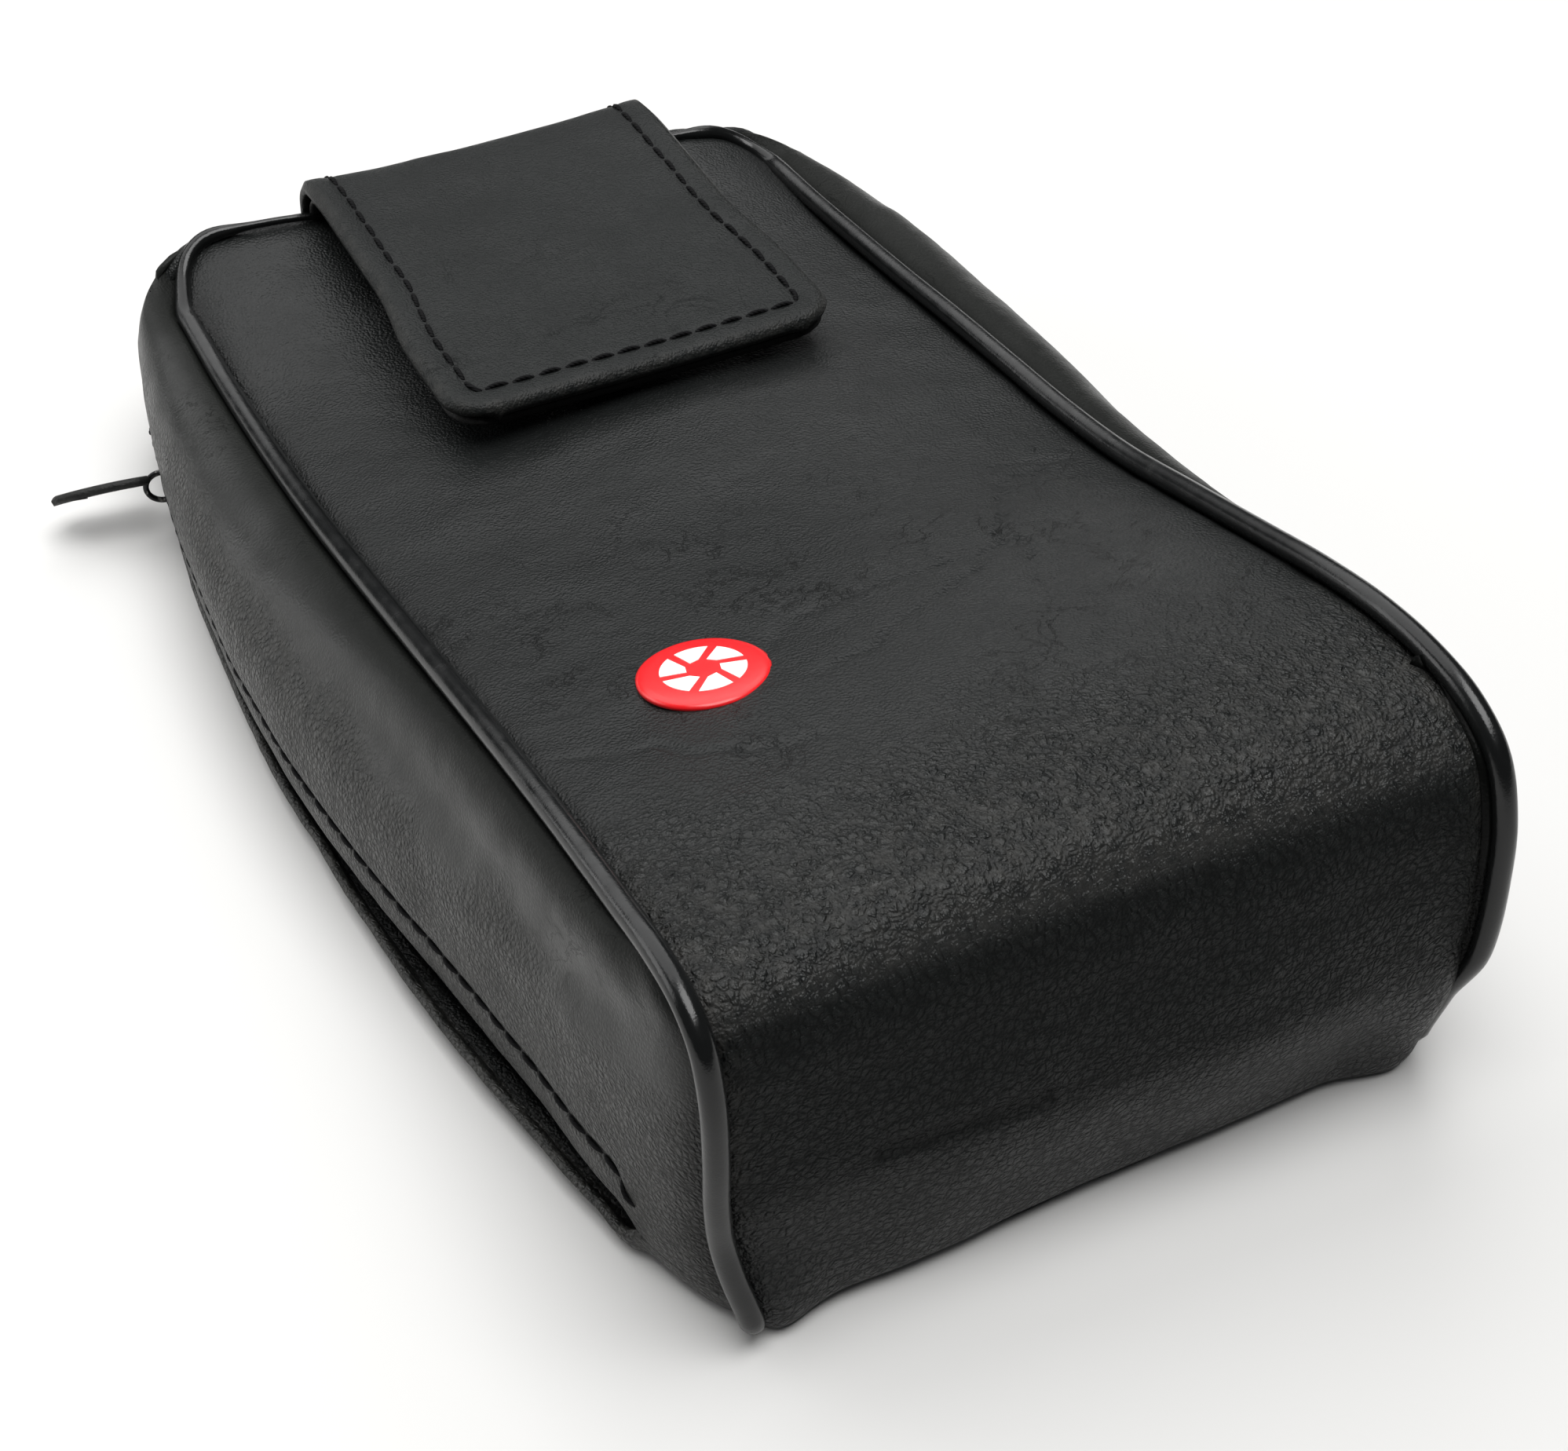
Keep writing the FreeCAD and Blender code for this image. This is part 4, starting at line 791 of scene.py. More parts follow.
panel[..., 2] = np.maximum(panel[..., 2], FLOOR_LIMIT)
pebble = ease((-panel[..., 1] - 38 + 6 * fractal(panel, 12, 21)) / 24)
pebble = np.maximum(pebble, 0.75 * ease((-panel_out[..., 1] - 0.35) / 0.4))
worn = 0.55 * bump(panel_edge - 1.6, 1.2) * near_turn + 0.35 * near_turn * facing_up
# painted dark reflection: the gloss is lowered where the panel turns down to face the front
turned_away = 0.9 * bump(-panel_out[..., 1] - 0.93, 0.2) * ease((panel[..., 2] - 12) / 8)
cracked = ease(0.25 + 0.9 * bump(panel[..., 1] + 26, 24)) * facing_up
# painted shade along the seam grooves and over the pressed mark
sheet("front_base_shell", panel, LEATHER, SHELL, "shell_leather", replaces=["front_base_leather"],
      marks={"pebble": pebble, "wear": worn, "cracked": cracked, "painted_dark_reflection": turned_away,
             "shade": np.maximum(0.95 * bump(panel_edge, 2.1), 0.3 * pressed)})

# ---------------------------------------------------------------- piping
for word, line, out in (("left", LEFT_LINE, LEFT_OUT), ("right", RIGHT_LINE, RIGHT_OUT)):
    side = -1 if word == "left" else 1
    route = line[line[:, 2] > 2.0][::3]
    corner = MOUTH_LINE[(MOUTH_LINE[:, 0] * side > 17.5) & (MOUTH_LINE[:, 0] * side < 38.0)]
    if side < 0:
        corner = corner[::-1]
    corner = corner + np.array([-side * 0.45, -0.45, 0.5])
    route = curve(np.concatenate([corner, route[1:]]), step=0.7)
    reach = np.arange(len(route)) * 0.7
    size = 0.45 + 0.5 * ease((reach - 8) / 7) + (PIPE_RADIUS - 0.95) * ease((reach - 20) / 8)
    near_floor = ease((4 - route[:, 2]) / 4)
    size = size * (1 - 0.4 * near_floor)
    tucked = ease((18 - route[:, 2]) / 8) * (side > 0) * ease((-60 - route[:, 1]) / 8)
    route = route + np.stack([-side * (0.8 * near_floor + 0.3 * tucked), 2.0 * near_floor + 1.1 * tucked,
                              np.zeros_like(near_floor)], 1)
    tube(f"{word}_piping", route, size, PIPING, "piping_leather", sides=20,
         replaces=[f"{word}_piping_cover", f"{word}_piping_cord"])


# ---------------------------------------------------------------- gussets and back
def widest(y):
    return HALF_WIDTH - BOW_RADIUS + np.sqrt(BOW_RADIUS ** 2 - (y - BOW_CENTRE) ** 2)


def bezier(points, share):
    share = share[:, None]
    p0, p1, p2, p3 = (np.asarray(point, float) for point in points)
    return ((1 - share) ** 3 * p0 + 3 * (1 - share) ** 2 * share * p1
            + 3 * (1 - share) * share ** 2 * p2 + share ** 3 * p3)


def gusset_section(seam, wide, fuller, count):
    """A gusset's outline in X and Z, from the seam out over the widest line and in to the foot."""
    across, up = seam
    shoulder = (wide, max(21.5, 0.62 * up) + fuller)
    top = [(across, up), (across + 4.5, up + 0.4 + fuller), shoulder, (wide, WIDE_Z)]
    upper = bezier(top, np.linspace(0, 1, 60))
    turn = np.linspace(0, math.pi / 2, 30)[1:]
    lower = np.stack([wide - 3.2 * (1 - np.cos(turn)), WIDE_Z * (1 - np.sin(turn))], 1)
    return spaced(np.concatenate([upper, lower]), count)


GUSSET_COLS = 70
MOUTH_END = 77.4
SLIT_TOP = high("upper_zip_tape")[1]
SLIT_BASE = low("upper_zip_tape")[1]


def gusset_grid(side, line, cols=GUSSET_COLS):
    """One gusset: sewn to the panel's edge along its top and to the base's edge at its end."""
    turn_y = -62.0
    split = int(np.argmax(line[:, 1] < turn_y))
    top, end = line[:split], line[split:]
    end = spaced(end[end[:, 2] > 0.3], cols)
    order = np.argsort(top[:, 1])
    corner = MOUTH_LINE[MOUTH_LINE[:, 0] * side >= CORNER_START]
    if side < 0:
        corner = corner[::-1]
    corner = curve(corner, count=60)
    down = np.linspace(0, 1, cols)
    rows = []
    for y in np.linspace(MOUTH_END, turn_y, 225):
        if y > top[0, 1]:
            spot = (MOUTH_END - y) / (MOUTH_END - top[0, 1]) * 59
            seam_x, seam_y, seam_z = (np.interp(spot, np.arange(60), corner[:, axis]) for axis in range(3))
            seam_x = abs(seam_x)
        else:
            seam_x = np.interp(y, top[order, 1], np.abs(top[order, 0]))
            seam_y = y
            seam_z = np.interp(y, top[order, 1], top[order, 2])
        if side < 0:
            fuller = 0.9 * ease((y - 40) / 35)
            flatter = np.interp(y, [-62, -51, -41, -27, -12, 4, 22, 78],
                                [0.8, 1.4, 1.9, 2.3, 1.8, 1.3, 0.9, 0.7])
        else:
            fuller = np.interp(y, [-70, -15, 28, 52, 65, 78], [0.6, 2.4, 2.4, 2.8, 1.6, 0.2])
            flatter = -0.8 + 1.0 * ease((y - 50) / 25)
        outline = gusset_section((seam_x, seam_z - 0.6), widest(y) - flatter, fuller, cols)
        y_line = y + (seam_y - y) * (1 - ease(down / 0.3))
        rows.append(np.stack([side * outline[:, 0], y_line, outline[:, 1]], 1))
    grid = np.array(rows)
    closing = np.clip((-44.0 - grid[:, 0, 1]) / (-44.0 - turn_y), 0, 1)[:, None]
    shift = end - grid[-1]
    grid[..., 0] += shift[:, 0] * closing ** 4
    grid[..., 1] += shift[:, 1] * closing ** 1.6
    grid[..., 2] += shift[:, 2] * closing ** 2
    return grid


def outward_of(grid, side):
    normal = normals_of(grid)
    if np.mean(normal[..., 0]) * side < 0:
        normal = -normal
    return normal


gussets = {}
for word, side, line in (("left", -1, LEFT_LINE), ("right", 1, RIGHT_LINE)):
    grid = gusset_grid(side, line)
    normal = outward_of(grid, side)
    below_seam = np.linspace(0, 1, grid.shape[1])[None, :] * np.ones((grid.shape[0], 1))
    valley_line = below_seam - 0.30 - 0.08 * np.tanh(grid[..., 1] / 40)
    valley = 1.1 * bump(valley_line, 0.10) * bump(grid[..., 1] + 18, 55)
    fold = 0.6 * bump(below_seam - 0.26 - (grid[..., 1] + 60) * 0.004, 0.055) * bump(grid[..., 1] + 47, 15)
    dimple = 0.25 * bump(np.hypot((below_seam - 0.13) * 60, grid[..., 1] + 62), 2.6)
    to_end = (grid.shape[0] - 1 - np.arange(grid.shape[0]))[:, None] * np.ones((1, grid.shape[1]))
    tuck = 0.9 * np.maximum(bump(below_seam, 0.035) * ease((74 - grid[:, :1, 1]) / 3), bump(to_end, 2.5))
    waves = 0.26 * fractal(grid, 22, 70 + side) + 0.07 * fractal(grid, 5, 80 + side)
    ends = ease(to_end / 8) * ease(below_seam / 0.04)
    grid = grid + normal * ((waves * ends - (valley + fold + dimple) * ends - tuck)[..., None])
    gussets[word] = grid


def band(grid, low_z):
    """A gusset from its seam down to a height, cut anew so that its lower edge is clean."""
    rows = []
    for row in grid:
        wide_at = int(np.argmin(np.abs(row[:, 2] - WIDE_Z)))
        spots = np.arange(wide_at - 3, len(row))
        lower_end = np.interp(-low_z, -row[wide_at - 3:, 2], spots)
        rows.append(picked(row, np.arange(len(row)), np.linspace(0, lower_end, GUSSET_COLS)))
    return np.array(rows)


def gusset_marks(grid):
    depth = np.linspace(0, 1, grid.shape[1])[None, :] * np.ones((grid.shape[0], 1))
    pebbled = ease((depth - 0.34 + 0.1 * fractal(grid, 14, 90)) / 0.22)
    to_end = (grid.shape[0] - 1 - np.arange(grid.shape[0]))[:, None]
    # painted shade along the seam and at the gusset's end; below the seam the gloss is lowered as a painted
    # dark reflection
    shade = 0.95 * np.maximum(bump(depth, 0.045), bump(to_end, 3.5))
    painted_dark_reflection = np.clip(shade + 0.95 * (1 - ease((depth - 0.10) / 0.2)), 0, 1)
    return {"pebble": pebbled, "wear": 0.3 * pebbled, "cracked": 0.35 * (1 - pebbled), "shade": shade,
            "painted_dark_reflection": painted_dark_reflection}


HEM_Z = 7.6
LIP_Z = 3.2
LIP_FLOOR = 0.25


def local_y(grid, height):
    """Each row's Y where it passes a height below the widest line."""
    places = []
    for row in grid:
        first = max(int(np.argmin(np.abs(row[:, 2] - WIDE_Z))) - 3, 0)
        places.append(np.interp(-height, -row[first:, 2], row[first:, 1]))
    return np.array(places)


SLIT_Y = local_y(gussets["left"], 6.0)
slit_share = ease((SLIT_TOP + 1 - SLIT_Y) / 3) * ease((SLIT_Y - SLIT_BASE + 1) / 2.5)


def left_band(grid, upper):
    """The left gusset above or below the slit; both close up to each other beyond its ends."""
    rows = []
    join = 4.6
    for row, share in zip(grid, slit_share):
        wide_at = int(np.argmin(np.abs(row[:, 2] - WIDE_Z)))
        spots = np.arange(wide_at - 3, len(row))
        if upper:
            edge = np.interp(-(join + (HEM_Z - join) * share), -row[wide_at - 3:, 2], spots)
            taken = np.linspace(0, edge, 66)
        else:
            edge = np.interp(-(join - 0.15 - (join - 0.15 - LIP_Z) * share), -row[wide_at - 3:, 2], spots)
            taken = np.linspace(edge, np.interp(-0.2, -row[wide_at - 3:, 2], spots), 8)
        rows.append(picked(row, np.arange(len(row)), taken))
    return np.array(rows)


upper_left = left_band(gussets["left"], True)
hem_share = np.linspace(0, 1, upper_left.shape[1])[None, :]
topstitch_groove = 0.42 * bump((1 - hem_share) * 38 - 5.0, 0.9)
upper_left = upper_left - outward_of(upper_left, -1) * (topstitch_groove * slit_share[:, None])[..., None]
upper_marks = gusset_marks(upper_left)
# painted shade and a painted dark reflection along the topstitch groove
stitch_painted_shade = 0.85 * bump((1 - hem_share) * 38 - 5.0, 0.55) * slit_share[:, None]
upper_marks["shade"] = np.maximum(upper_marks["shade"], stitch_painted_shade)
upper_marks["painted_dark_reflection"] = np.maximum(upper_marks["painted_dark_reflection"], stitch_painted_shade)
# the left side's rows run the other way round, so that its thickness goes inwards
rows_to_end = (len(upper_left) - 1 - np.arange(len(upper_left)))[:, None]
thin = np.minimum(ease(rows_to_end / 12), ease(hem_share / 0.08)) * ease((len(upper_left) - rows_to_end) / 14)
left_thickness = 0.3 + (LEATHER - 0.3) * thin
sheet("left_gusset", upper_left[::-1], left_thickness[::-1], GUSSET, "gusset_leather",
      replaces=["left_gusset_leather"], marks={key: value[::-1] for key, value in upper_marks.items()})
lower_left = left_band(gussets["left"], False)
lip_places = [-72, -62, -57, -51, -38, -30, -22, -11, -5, 25]
lip_out = np.interp(lower_left[:, 0, 1], lip_places, [0.9, 1.1, 1.1, 1.7, 2.5, 2.5, 2.2, 1.2, 0.9, 0.6])
lower_left[..., 0] -= (lip_out * slit_share)[:, None] + 0.15 * fractal(lower_left, 9, 140)
lower_left[..., 2] += 0.25 * slit_share[:, None] * np.linspace(1, 0, 8)[None, :] * fractal(lower_left, 6, 150)
# the lip turns in along the floor, under the zip's lower tape
foot_reach = 0.12 + 0.88 * ease((lower_left[:, 0, 1] + 69) / 8)
foot_steps = np.array([(0.7, 0, 0), (1.8, 0, 0), (3.2, 0, 0), (5.0, 0, 0)])
foot = lower_left[:, -1:] + foot_steps * foot_reach[:, None, None]
lower_left = np.concatenate([lower_left, foot], axis=1)
lower_left[..., 2] = np.maximum(lower_left[..., 2], LIP_FLOOR)
sheet("left_gusset_lower_edge", lower_left[::-1], 1.0, GUSSET, "gusset_leather",
      marks={"pebble": 0.8, "wear": 0.4, "cracked": 0.0, "shade": 0.0})
right_full = band(gussets["right"], 0.2)
sheet("right_gusset", right_full, LEATHER, GUSSET, "gusset_leather", replaces=["right_gusset_leather"],
      marks=gusset_marks(right_full))

# the flat back, its edges rolled up to meet the gussets
back_rows = []
for y in np.linspace(MOUTH_Y + 0.2, BASE_Y + 6.0, 160):
    half = widest(y) - 3.4
    spread = np.sin(np.linspace(-1, 1, 90) * math.pi / 2)
    ground = 0.05 + 0.35 * (np.abs(spread) > 0.97)
    back_rows.append(np.stack([spread * half, np.full(90, y), ground * np.ones(90)], 1))
back = np.array(back_rows)
back[..., 2] += 0.05 * np.maximum(0, fractal(back, 20, 101))
sheet("back_panel", back[:, ::-1], LEATHER - 0.3, SHELL, "shell_leather", replaces=["back_leather"],
      marks={"pebble": 0.6, "wear": 0.15, "cracked": 0.1, "shade": 0.0})

# ---------------------------------------------------------------- mouth rim
rim_line = [point + np.array([1.3, 0.2, -0.5]) for point in gussets["left"][0][4:54:5][::-1]]
rim_line += [point + np.array([0.0, 0.9, -0.9]) for point in panel[0] if abs(point[0]) < CORNER_START][::6]
rim_line += [point + np.array([-1.3, 0.2, -0.5]) for point in gussets["right"][0][4:54:5]]
tube("mouth_binding", curve(rim_line, step=1.0), 1.2, SHELL, "shell_leather", sides=18,
     replaces=["mouth_rim"])


# ---------------------------------------------------------------- linings and padding
def inner_panel(depth, thickness, name, material, slot, replaced):
    grid = panel_grid(inset=depth, cols=60, tuck=0.0)[0][4:-24:4, 4:-4]
    piece = sheet(name, grid, thickness, material, slot, replaces=replaced)
    return piece, grid


pad, _ = inner_panel(LEATHER + 0.25, PAD, "front_base_pad", FOAM, "foam", ["front_padding", "base_padding"])
cloth, cloth_grid = inner_panel(LEATHER + PAD + 0.35, CLOTH, "front_base_lining", LINING, "lining_cloth",
                                ["front_lining", "base_lining"])
for word, side in (("left", -1), ("right", 1)):
    grid = gussets[word]
    wide_at = int(np.argmin(np.abs(grid[100, :, 2] - 14.6)))
    part = grid[4:-10:4, 3:wide_at:2][::side]
    outwards = outward_of(part, side)
    pad_grid = part - outwards * (LEATHER + 0.25)
    pad = sheet(f"{word}_gusset_pad", pad_grid, PAD, FOAM, "foam", replaces=[f"{word}_gusset_padding"])
    cloth_grid = part - outwards * (LEATHER + PAD + 0.35)
    cloth = sheet(f"{word}_gusset_cloth", cloth_grid, CLOTH, LINING, "lining_cloth",
                  replaces=[f"{word}_gusset_lining"])

# ---------------------------------------------------------------- flap
FLAP_STEP = 0.6
FLAP_CORNER = 5.0
EDGE_ROLL = 0.8
FLAP_WAIST = 1.2


def flap_run():
    """The flap's outer line in Y and Z: out of the back seam, round the hinge, up, over and along."""
    hinge = [(75.0, 0.25), (76.6, 0.2), (78.4, 0.25), (79.7, 1.3), (80.1, 3.6)]
    riser = [(80.2, 8.0), (80.3, 16.0), (80.4, 24.0), (79.8, 28.4), (77.5, 31.1)]
    cover = [(73.0, 32.0), (64.0, 31.9), (54.0, 31.5), (44.0, 31.2), (34.0, 31.3), (FLAP_TIP, 31.5)]
    return curve(hinge + riser + cover, step=FLAP_STEP)


FLAP_RUN = flap_run()
FLAP_LENGTH = FLAP_STEP * (len(FLAP_RUN) - 1)
FLAP_MID = (FLAP_LEFT + FLAP_RIGHT) / 2
FLAP_HALF = (FLAP_RIGHT - FLAP_LEFT) / 2


def flap_grid(inset=0.0, depth=0.0, cols=78, start=0):
    """Points over the flap, inset from its edges and below its outer face."""
    along = np.arange(start, len(FLAP_RUN)) * FLAP_STEP
    reach = FLAP_LENGTH - inset
    along = np.minimum(along, reach)
    corner = max(FLAP_CORNER - inset, 1.0)
    into_corner = np.clip(corner - (reach - along), 0, corner)
    narrower = FLAP_WAIST * (1 - ease((along - FLAP_LENGTH + 28) / 14))
    half = FLAP_HALF - narrower - inset - corner + np.sqrt(np.maximum(corner ** 2 - into_corner ** 2, 0.0))
    rows = []
    total = np.arange(len(FLAP_RUN)) * FLAP_STEP
    for place, width in zip(along, half):
        y = np.interp(place, total, FLAP_RUN[:, 0])
        z = np.interp(place, total, FLAP_RUN[:, 1])
        ahead = np.interp(min(place + 0.4, FLAP_LENGTH), total, FLAP_RUN[:, 0]), np.interp(
            min(place + 0.4, FLAP_LENGTH), total, FLAP_RUN[:, 1])
        behind = np.interp(place - 0.4, total, FLAP_RUN[:, 0]), np.interp(place - 0.4, total, FLAP_RUN[:, 1])
        direction = unit(np.array([ahead[0] - behind[0], ahead[1] - behind[1]]))
        normal = np.array([direction[1], -direction[0]])
        across = np.linspace(-1, 1, cols)
        x = across * max(width, 1.0)
        saddle = -np.clip(normal[1], 0, 1) * (1 - (x / FLAP_HALF) ** 2) * (0.3 + 1.0 * bump(y - 70, 14))
        y_row = y + (saddle - depth) * normal[0]
        z_row = z + (saddle - depth) * normal[1]
        rows.append(np.stack([FLAP_MID + x, y_row, z_row], 1))
    return np.array(rows)


flap = flap_grid()
# the last rows shrink to a rounded tip; the edges roll down round the layers below
flap_cols = flap.shape[1]
flap_normal = normals_of(flap)
if flap_normal[len(flap) * 3 // 4, flap_cols // 2, 2] < 0:
    flap_normal = -flap_normal
place = np.arange(len(flap)) * FLAP_STEP
flap_narrower = FLAP_WAIST * (1 - ease((place - FLAP_LENGTH + 28) / 14))[:, None]
to_side = FLAP_HALF - flap_narrower - np.abs(flap[..., 0] - FLAP_MID)
to_tip = (FLAP_LENGTH - place)[:, None] * np.ones((1, flap_cols))
inside_x = np.maximum(FLAP_CORNER - to_side, 0)
inside_y = np.maximum(FLAP_CORNER - to_tip, 0)
to_edge = np.where((to_side < FLAP_CORNER) & (to_tip < FLAP_CORNER),
                   FLAP_CORNER - np.hypot(inside_x, inside_y), np.minimum(to_side, to_tip))
to_edge = np.maximum(to_edge, 0)
free = ease((place - 6.0) / 4.0)[:, None]
roll = EDGE_ROLL * (1 - np.sqrt(np.clip(1 - (1 - np.clip(to_edge / EDGE_ROLL, 0, 1)) ** 2, 0, 1))) * free
plump = 0.08 * bump(to_edge - 1.8, 1.1) * free
groove = 0.16 * bump(to_edge - 3.4, 0.5) * free
waves = 0.20 * fractal(flap, 22, 120) + 0.05 * fractal(flap, 6, 130)
flap_surface = flap + flap_normal * ((waves * ease(to_edge / 4) + plump - roll - groove)[..., None])
flap_surface[..., 2] = np.maximum(flap_surface[..., 2], 0.12)
# painted shade in the groove inside the flap's edges, along its stitches
flap_leather = sheet("flap_leather", flap_surface, 1.2, FLAP_LEATHER, "shell_leather", body=None,
                     replaces=["flap_outer_leather", "flap_root_leather", "flap_hinge_roll"],
                     marks={"pebble": 0.15 * free * np.ones_like(to_edge),
                            "wear": 0.35 * bump(to_edge - 0.2, 0.7),
                            "cracked": 0.5 * bump(place - 92, 30)[:, None] * np.ones_like(to_edge),
                            "shade": 0.7 * bump(to_edge - 3.5, 0.35) * free})
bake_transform(flap_leather)

core_start = int(7.5 / FLAP_STEP)
core_grid = flap_grid(inset=2.0, depth=1.35, start=core_start)
sheet("flap_core", core_grid, 0.7, BOARD, "board", body=FLAP, replaces=["flap_stiffener"])
backing_grid = flap_grid(inset=0.9, depth=2.15, start=core_start)
sheet("flap_backing", backing_grid, 0.8, BACKING, "flap_lining_leather", body=FLAP, replaces=["flap_lining"],
      marks={"pebble": 0.3, "wear": 0.1, "cracked": 0.2, "shade": 0.0})

# one row of stitches at an even distance inside the flap's edges
stitch_inset = 3.4
turn_points = []
corner_radius = FLAP_CORNER - stitch_inset
ring_x = FLAP_HALF - stitch_inset
for place_along in np.arange(14.0, FLAP_LENGTH - FLAP_CORNER, 2.0):
    narrower = FLAP_WAIST * (1 - ease((place_along - FLAP_LENGTH + 28) / 14))
    turn_points.append((-ring_x + narrower, place_along))
for angle in np.linspace(0, math.pi / 2, 6)[1:]:
    turn_points.append((-ring_x + corner_radius * (1 - math.cos(angle)),
                        FLAP_LENGTH - FLAP_CORNER + corner_radius * math.sin(angle)))
for x in np.arange(-ring_x + corner_radius + 2, ring_x - corner_radius - 1, 2.0):
    turn_points.append((x, FLAP_LENGTH - stitch_inset))
mirrored = [(-x, place_along) for x, place_along in turn_points
            if x < -ring_x + corner_radius + 1e-6][::-1]
turn_points += mirrored
stitch_path, stitch_up = [], []
for x, place_along in turn_points:
    row = int(np.clip(round(place_along / FLAP_STEP), 0, len(flap) - 1))
    widths = flap[row, :, 0] - FLAP_MID
    column = np.interp(x, widths, np.arange(flap_cols))
    first = int(np.clip(math.floor(column), 0, flap_cols - 2))
    part = column - first
    stitch_path.append(flap_surface[row, first] * (1 - part) + flap_surface[row, first + 1] * part)
    stitch_up.append(flap_normal[row, first])
stitch_path = np.array(stitch_path)
fine_path = curve(stitch_path, step=0.5)
up_index = np.linspace(0, len(stitch_up) - 1, len(fine_path))
fine_up = unit(picked(np.array(stitch_up), np.arange(len(stitch_up)), up_index))
joined("flap_stitches", stitches(fine_path, fine_up, 2.3, 0.8, 0.26, sink=0.0, seed=5), THREAD, "thread",
       body=FLAP, replaces=["flap_stitching"])

# ---------------------------------------------------------------- closure
plate = middle("closure_plate")
plate_top = high("closure_plate")[2]
plate_low = low("closure_plate")[2]
plate_radius = (high("closure_plate")[0] - low("closure_plate")[0]) / 2
plate_height = plate_top - plate_low
lathe("snap_plate", [(0.01, plate_height - 0.5), (1.6, plate_height - 0.5), (2.0, plate_height),
                     (plate_radius - 0.6, plate_height), (plate_radius, plate_height - 0.5),
                     (plate_radius, 0.3), (plate_radius - 0.4, 0.0), (0.01, 0.0)],
      (plate[0], plate[1], plate_low), (0, 0, 1), STEEL, "closure_steel", replaces=["closure_plate"])
magnet = middle("closure_magnet")
magnet_low = low("closure_magnet")[2]
MAGNET_HEIGHT = 1.5
magnet_top = magnet_low + MAGNET_HEIGHT
washer_radius = (high("closure_magnet_washer")[0] - low("closure_magnet_washer")[0]) / 2
lathe("snap_magnet", [(0.01, 0.3), (2.2, 0.3), (2.5, 0.0), (plate_radius - 0.5, 0.0), (plate_radius, 0.4),
                      (plate_radius, MAGNET_HEIGHT - 0.1), (plate_radius - 0.1, MAGNET_HEIGHT),
                      (0.01, MAGNET_HEIGHT)],
      (magnet[0], magnet[1], magnet_low), (0, 0, 1), STEEL, "closure_steel", body=FLAP,
      replaces=["closure_magnet"])

lathe("magnet_washer", [(1.2, 0.25), (washer_radius - 0.2, 0.25), (washer_radius, 0.15),
                        (washer_radius, -0.15), (washer_radius - 0.2, -0.25), (1.2, -0.25)],
      (magnet[0], magnet[1], magnet_top + 0.35), (0, 0, 1), STEEL, "closure_steel", body=FLAP,
      replaces=["closure_magnet_washer"])

# ---------------------------------------------------------------- badge
badge = middle("badge_disc")
row = int(np.argmin(np.abs(panel[:, panel.shape[1] // 4, 1] - badge[1])))
col = int(np.argmin(np.abs(panel[row, :, 0] - badge[0])))
badge_place = panel[row, col] + panel_out[row, col] * 0.1
badge_axis = panel_out[row, col]
BADGE_RADIUS = 6.35
BLADES = 6
BLADE_REACH = 4.1
BLADE_SPAN = math.pi / 3
BLADE_GAP = 0.22
# the badge's domed face as (radius, height)
BADGE_DOME = [(0, 0.50), (2, 0.49), (4, 0.45), (5.4, 0.38), (6.0, 0.28)]
lathe("badge_button", [(0.01, 0.50)] + BADGE_DOME[1:]
      + [(BADGE_RADIUS, 0.05), (BADGE_RADIUS, -0.3), (BADGE_RADIUS - 0.3, -0.5), (0.01, -0.5)],
      badge_place, badge_axis, RED, "badge_red", sides=96, replaces=["badge_disc"])


def badge_height(radius):
    places, heights = zip(*BADGE_DOME)
    return np.interp(radius, places, heights)


badge_side = np.array([1.0, 0.0, 0.0])
badge_up = np.cross(badge_axis, badge_side)
blade_parts = []
for blade in range(BLADES):
    turned = blade * BLADE_SPAN
    outline = []
    for angle in np.linspace(0, BLADE_SPAN - BLADE_GAP, 9):
        outline.append((BLADE_REACH * math.cos(angle), BLADE_REACH * math.sin(angle)))
    for inner_radius, angle in ((1.62, 0.95), (1.75, 0.35)):
        outline.append((inner_radius * math.cos(angle), inner_radius * math.sin(angle)))
    outline = np.array(outline)
    spin = np.array([[math.cos(turned), -math.sin(turned)], [math.sin(turned), math.cos(turned)]])
    outline = outline @ spin.T
    radius = np.linalg.norm(outline, axis=1)
    flat = badge_place + outline[:, :1] * badge_side + outline[:, 1:] * badge_up
    under = flat + badge_axis * (badge_height(radius)[:, None] - 0.05)
    above = under + badge_axis * 0.12
    count = len(outline)
    faces = [list(range(count))[::-1], list(range(count, 2 * count))]
    for number in range(count):
        after = (number + 1) % count
        faces.append([number, after, count + after, count + number])
    blade_parts.append((np.concatenate([under, above]), faces))
joined("badge_blades", blade_parts, WHITE, "badge_white", replaces=["badge_emblem"], smooth=False)

# ---------------------------------------------------------------- hem, tapes and coils
hem_rows = (SLIT_Y < SLIT_TOP) & (SLIT_Y > SLIT_BASE)
hem_edge = upper_left[hem_rows][:, -1]
hem_out = outward_of(upper_left, -1)[hem_rows][:, -1]
facing_rows = []
for point, out in zip(hem_edge, hem_out):
    column = [point - out * 1.5 + np.array([0, 0, 0.9]), point - out * 1.7 + np.array([0, 0, 2.2]),
              point - out * 1.8 + np.array([0.1, 0, 4.0]), point - out * 1.9 + np.array([0.3, 0, 5.6])]
    facing_rows.append(column)
# the facing lies in the slit under the hem and gets a little painted shade all over
sheet("hem_facing", np.array(facing_rows), 0.8, GUSSET, "gusset_leather", replaces=["zip_hem_facing"],
      marks={"pebble": 0.5, "wear": 0.0, "cracked": 0.0, "shade": 0.2})

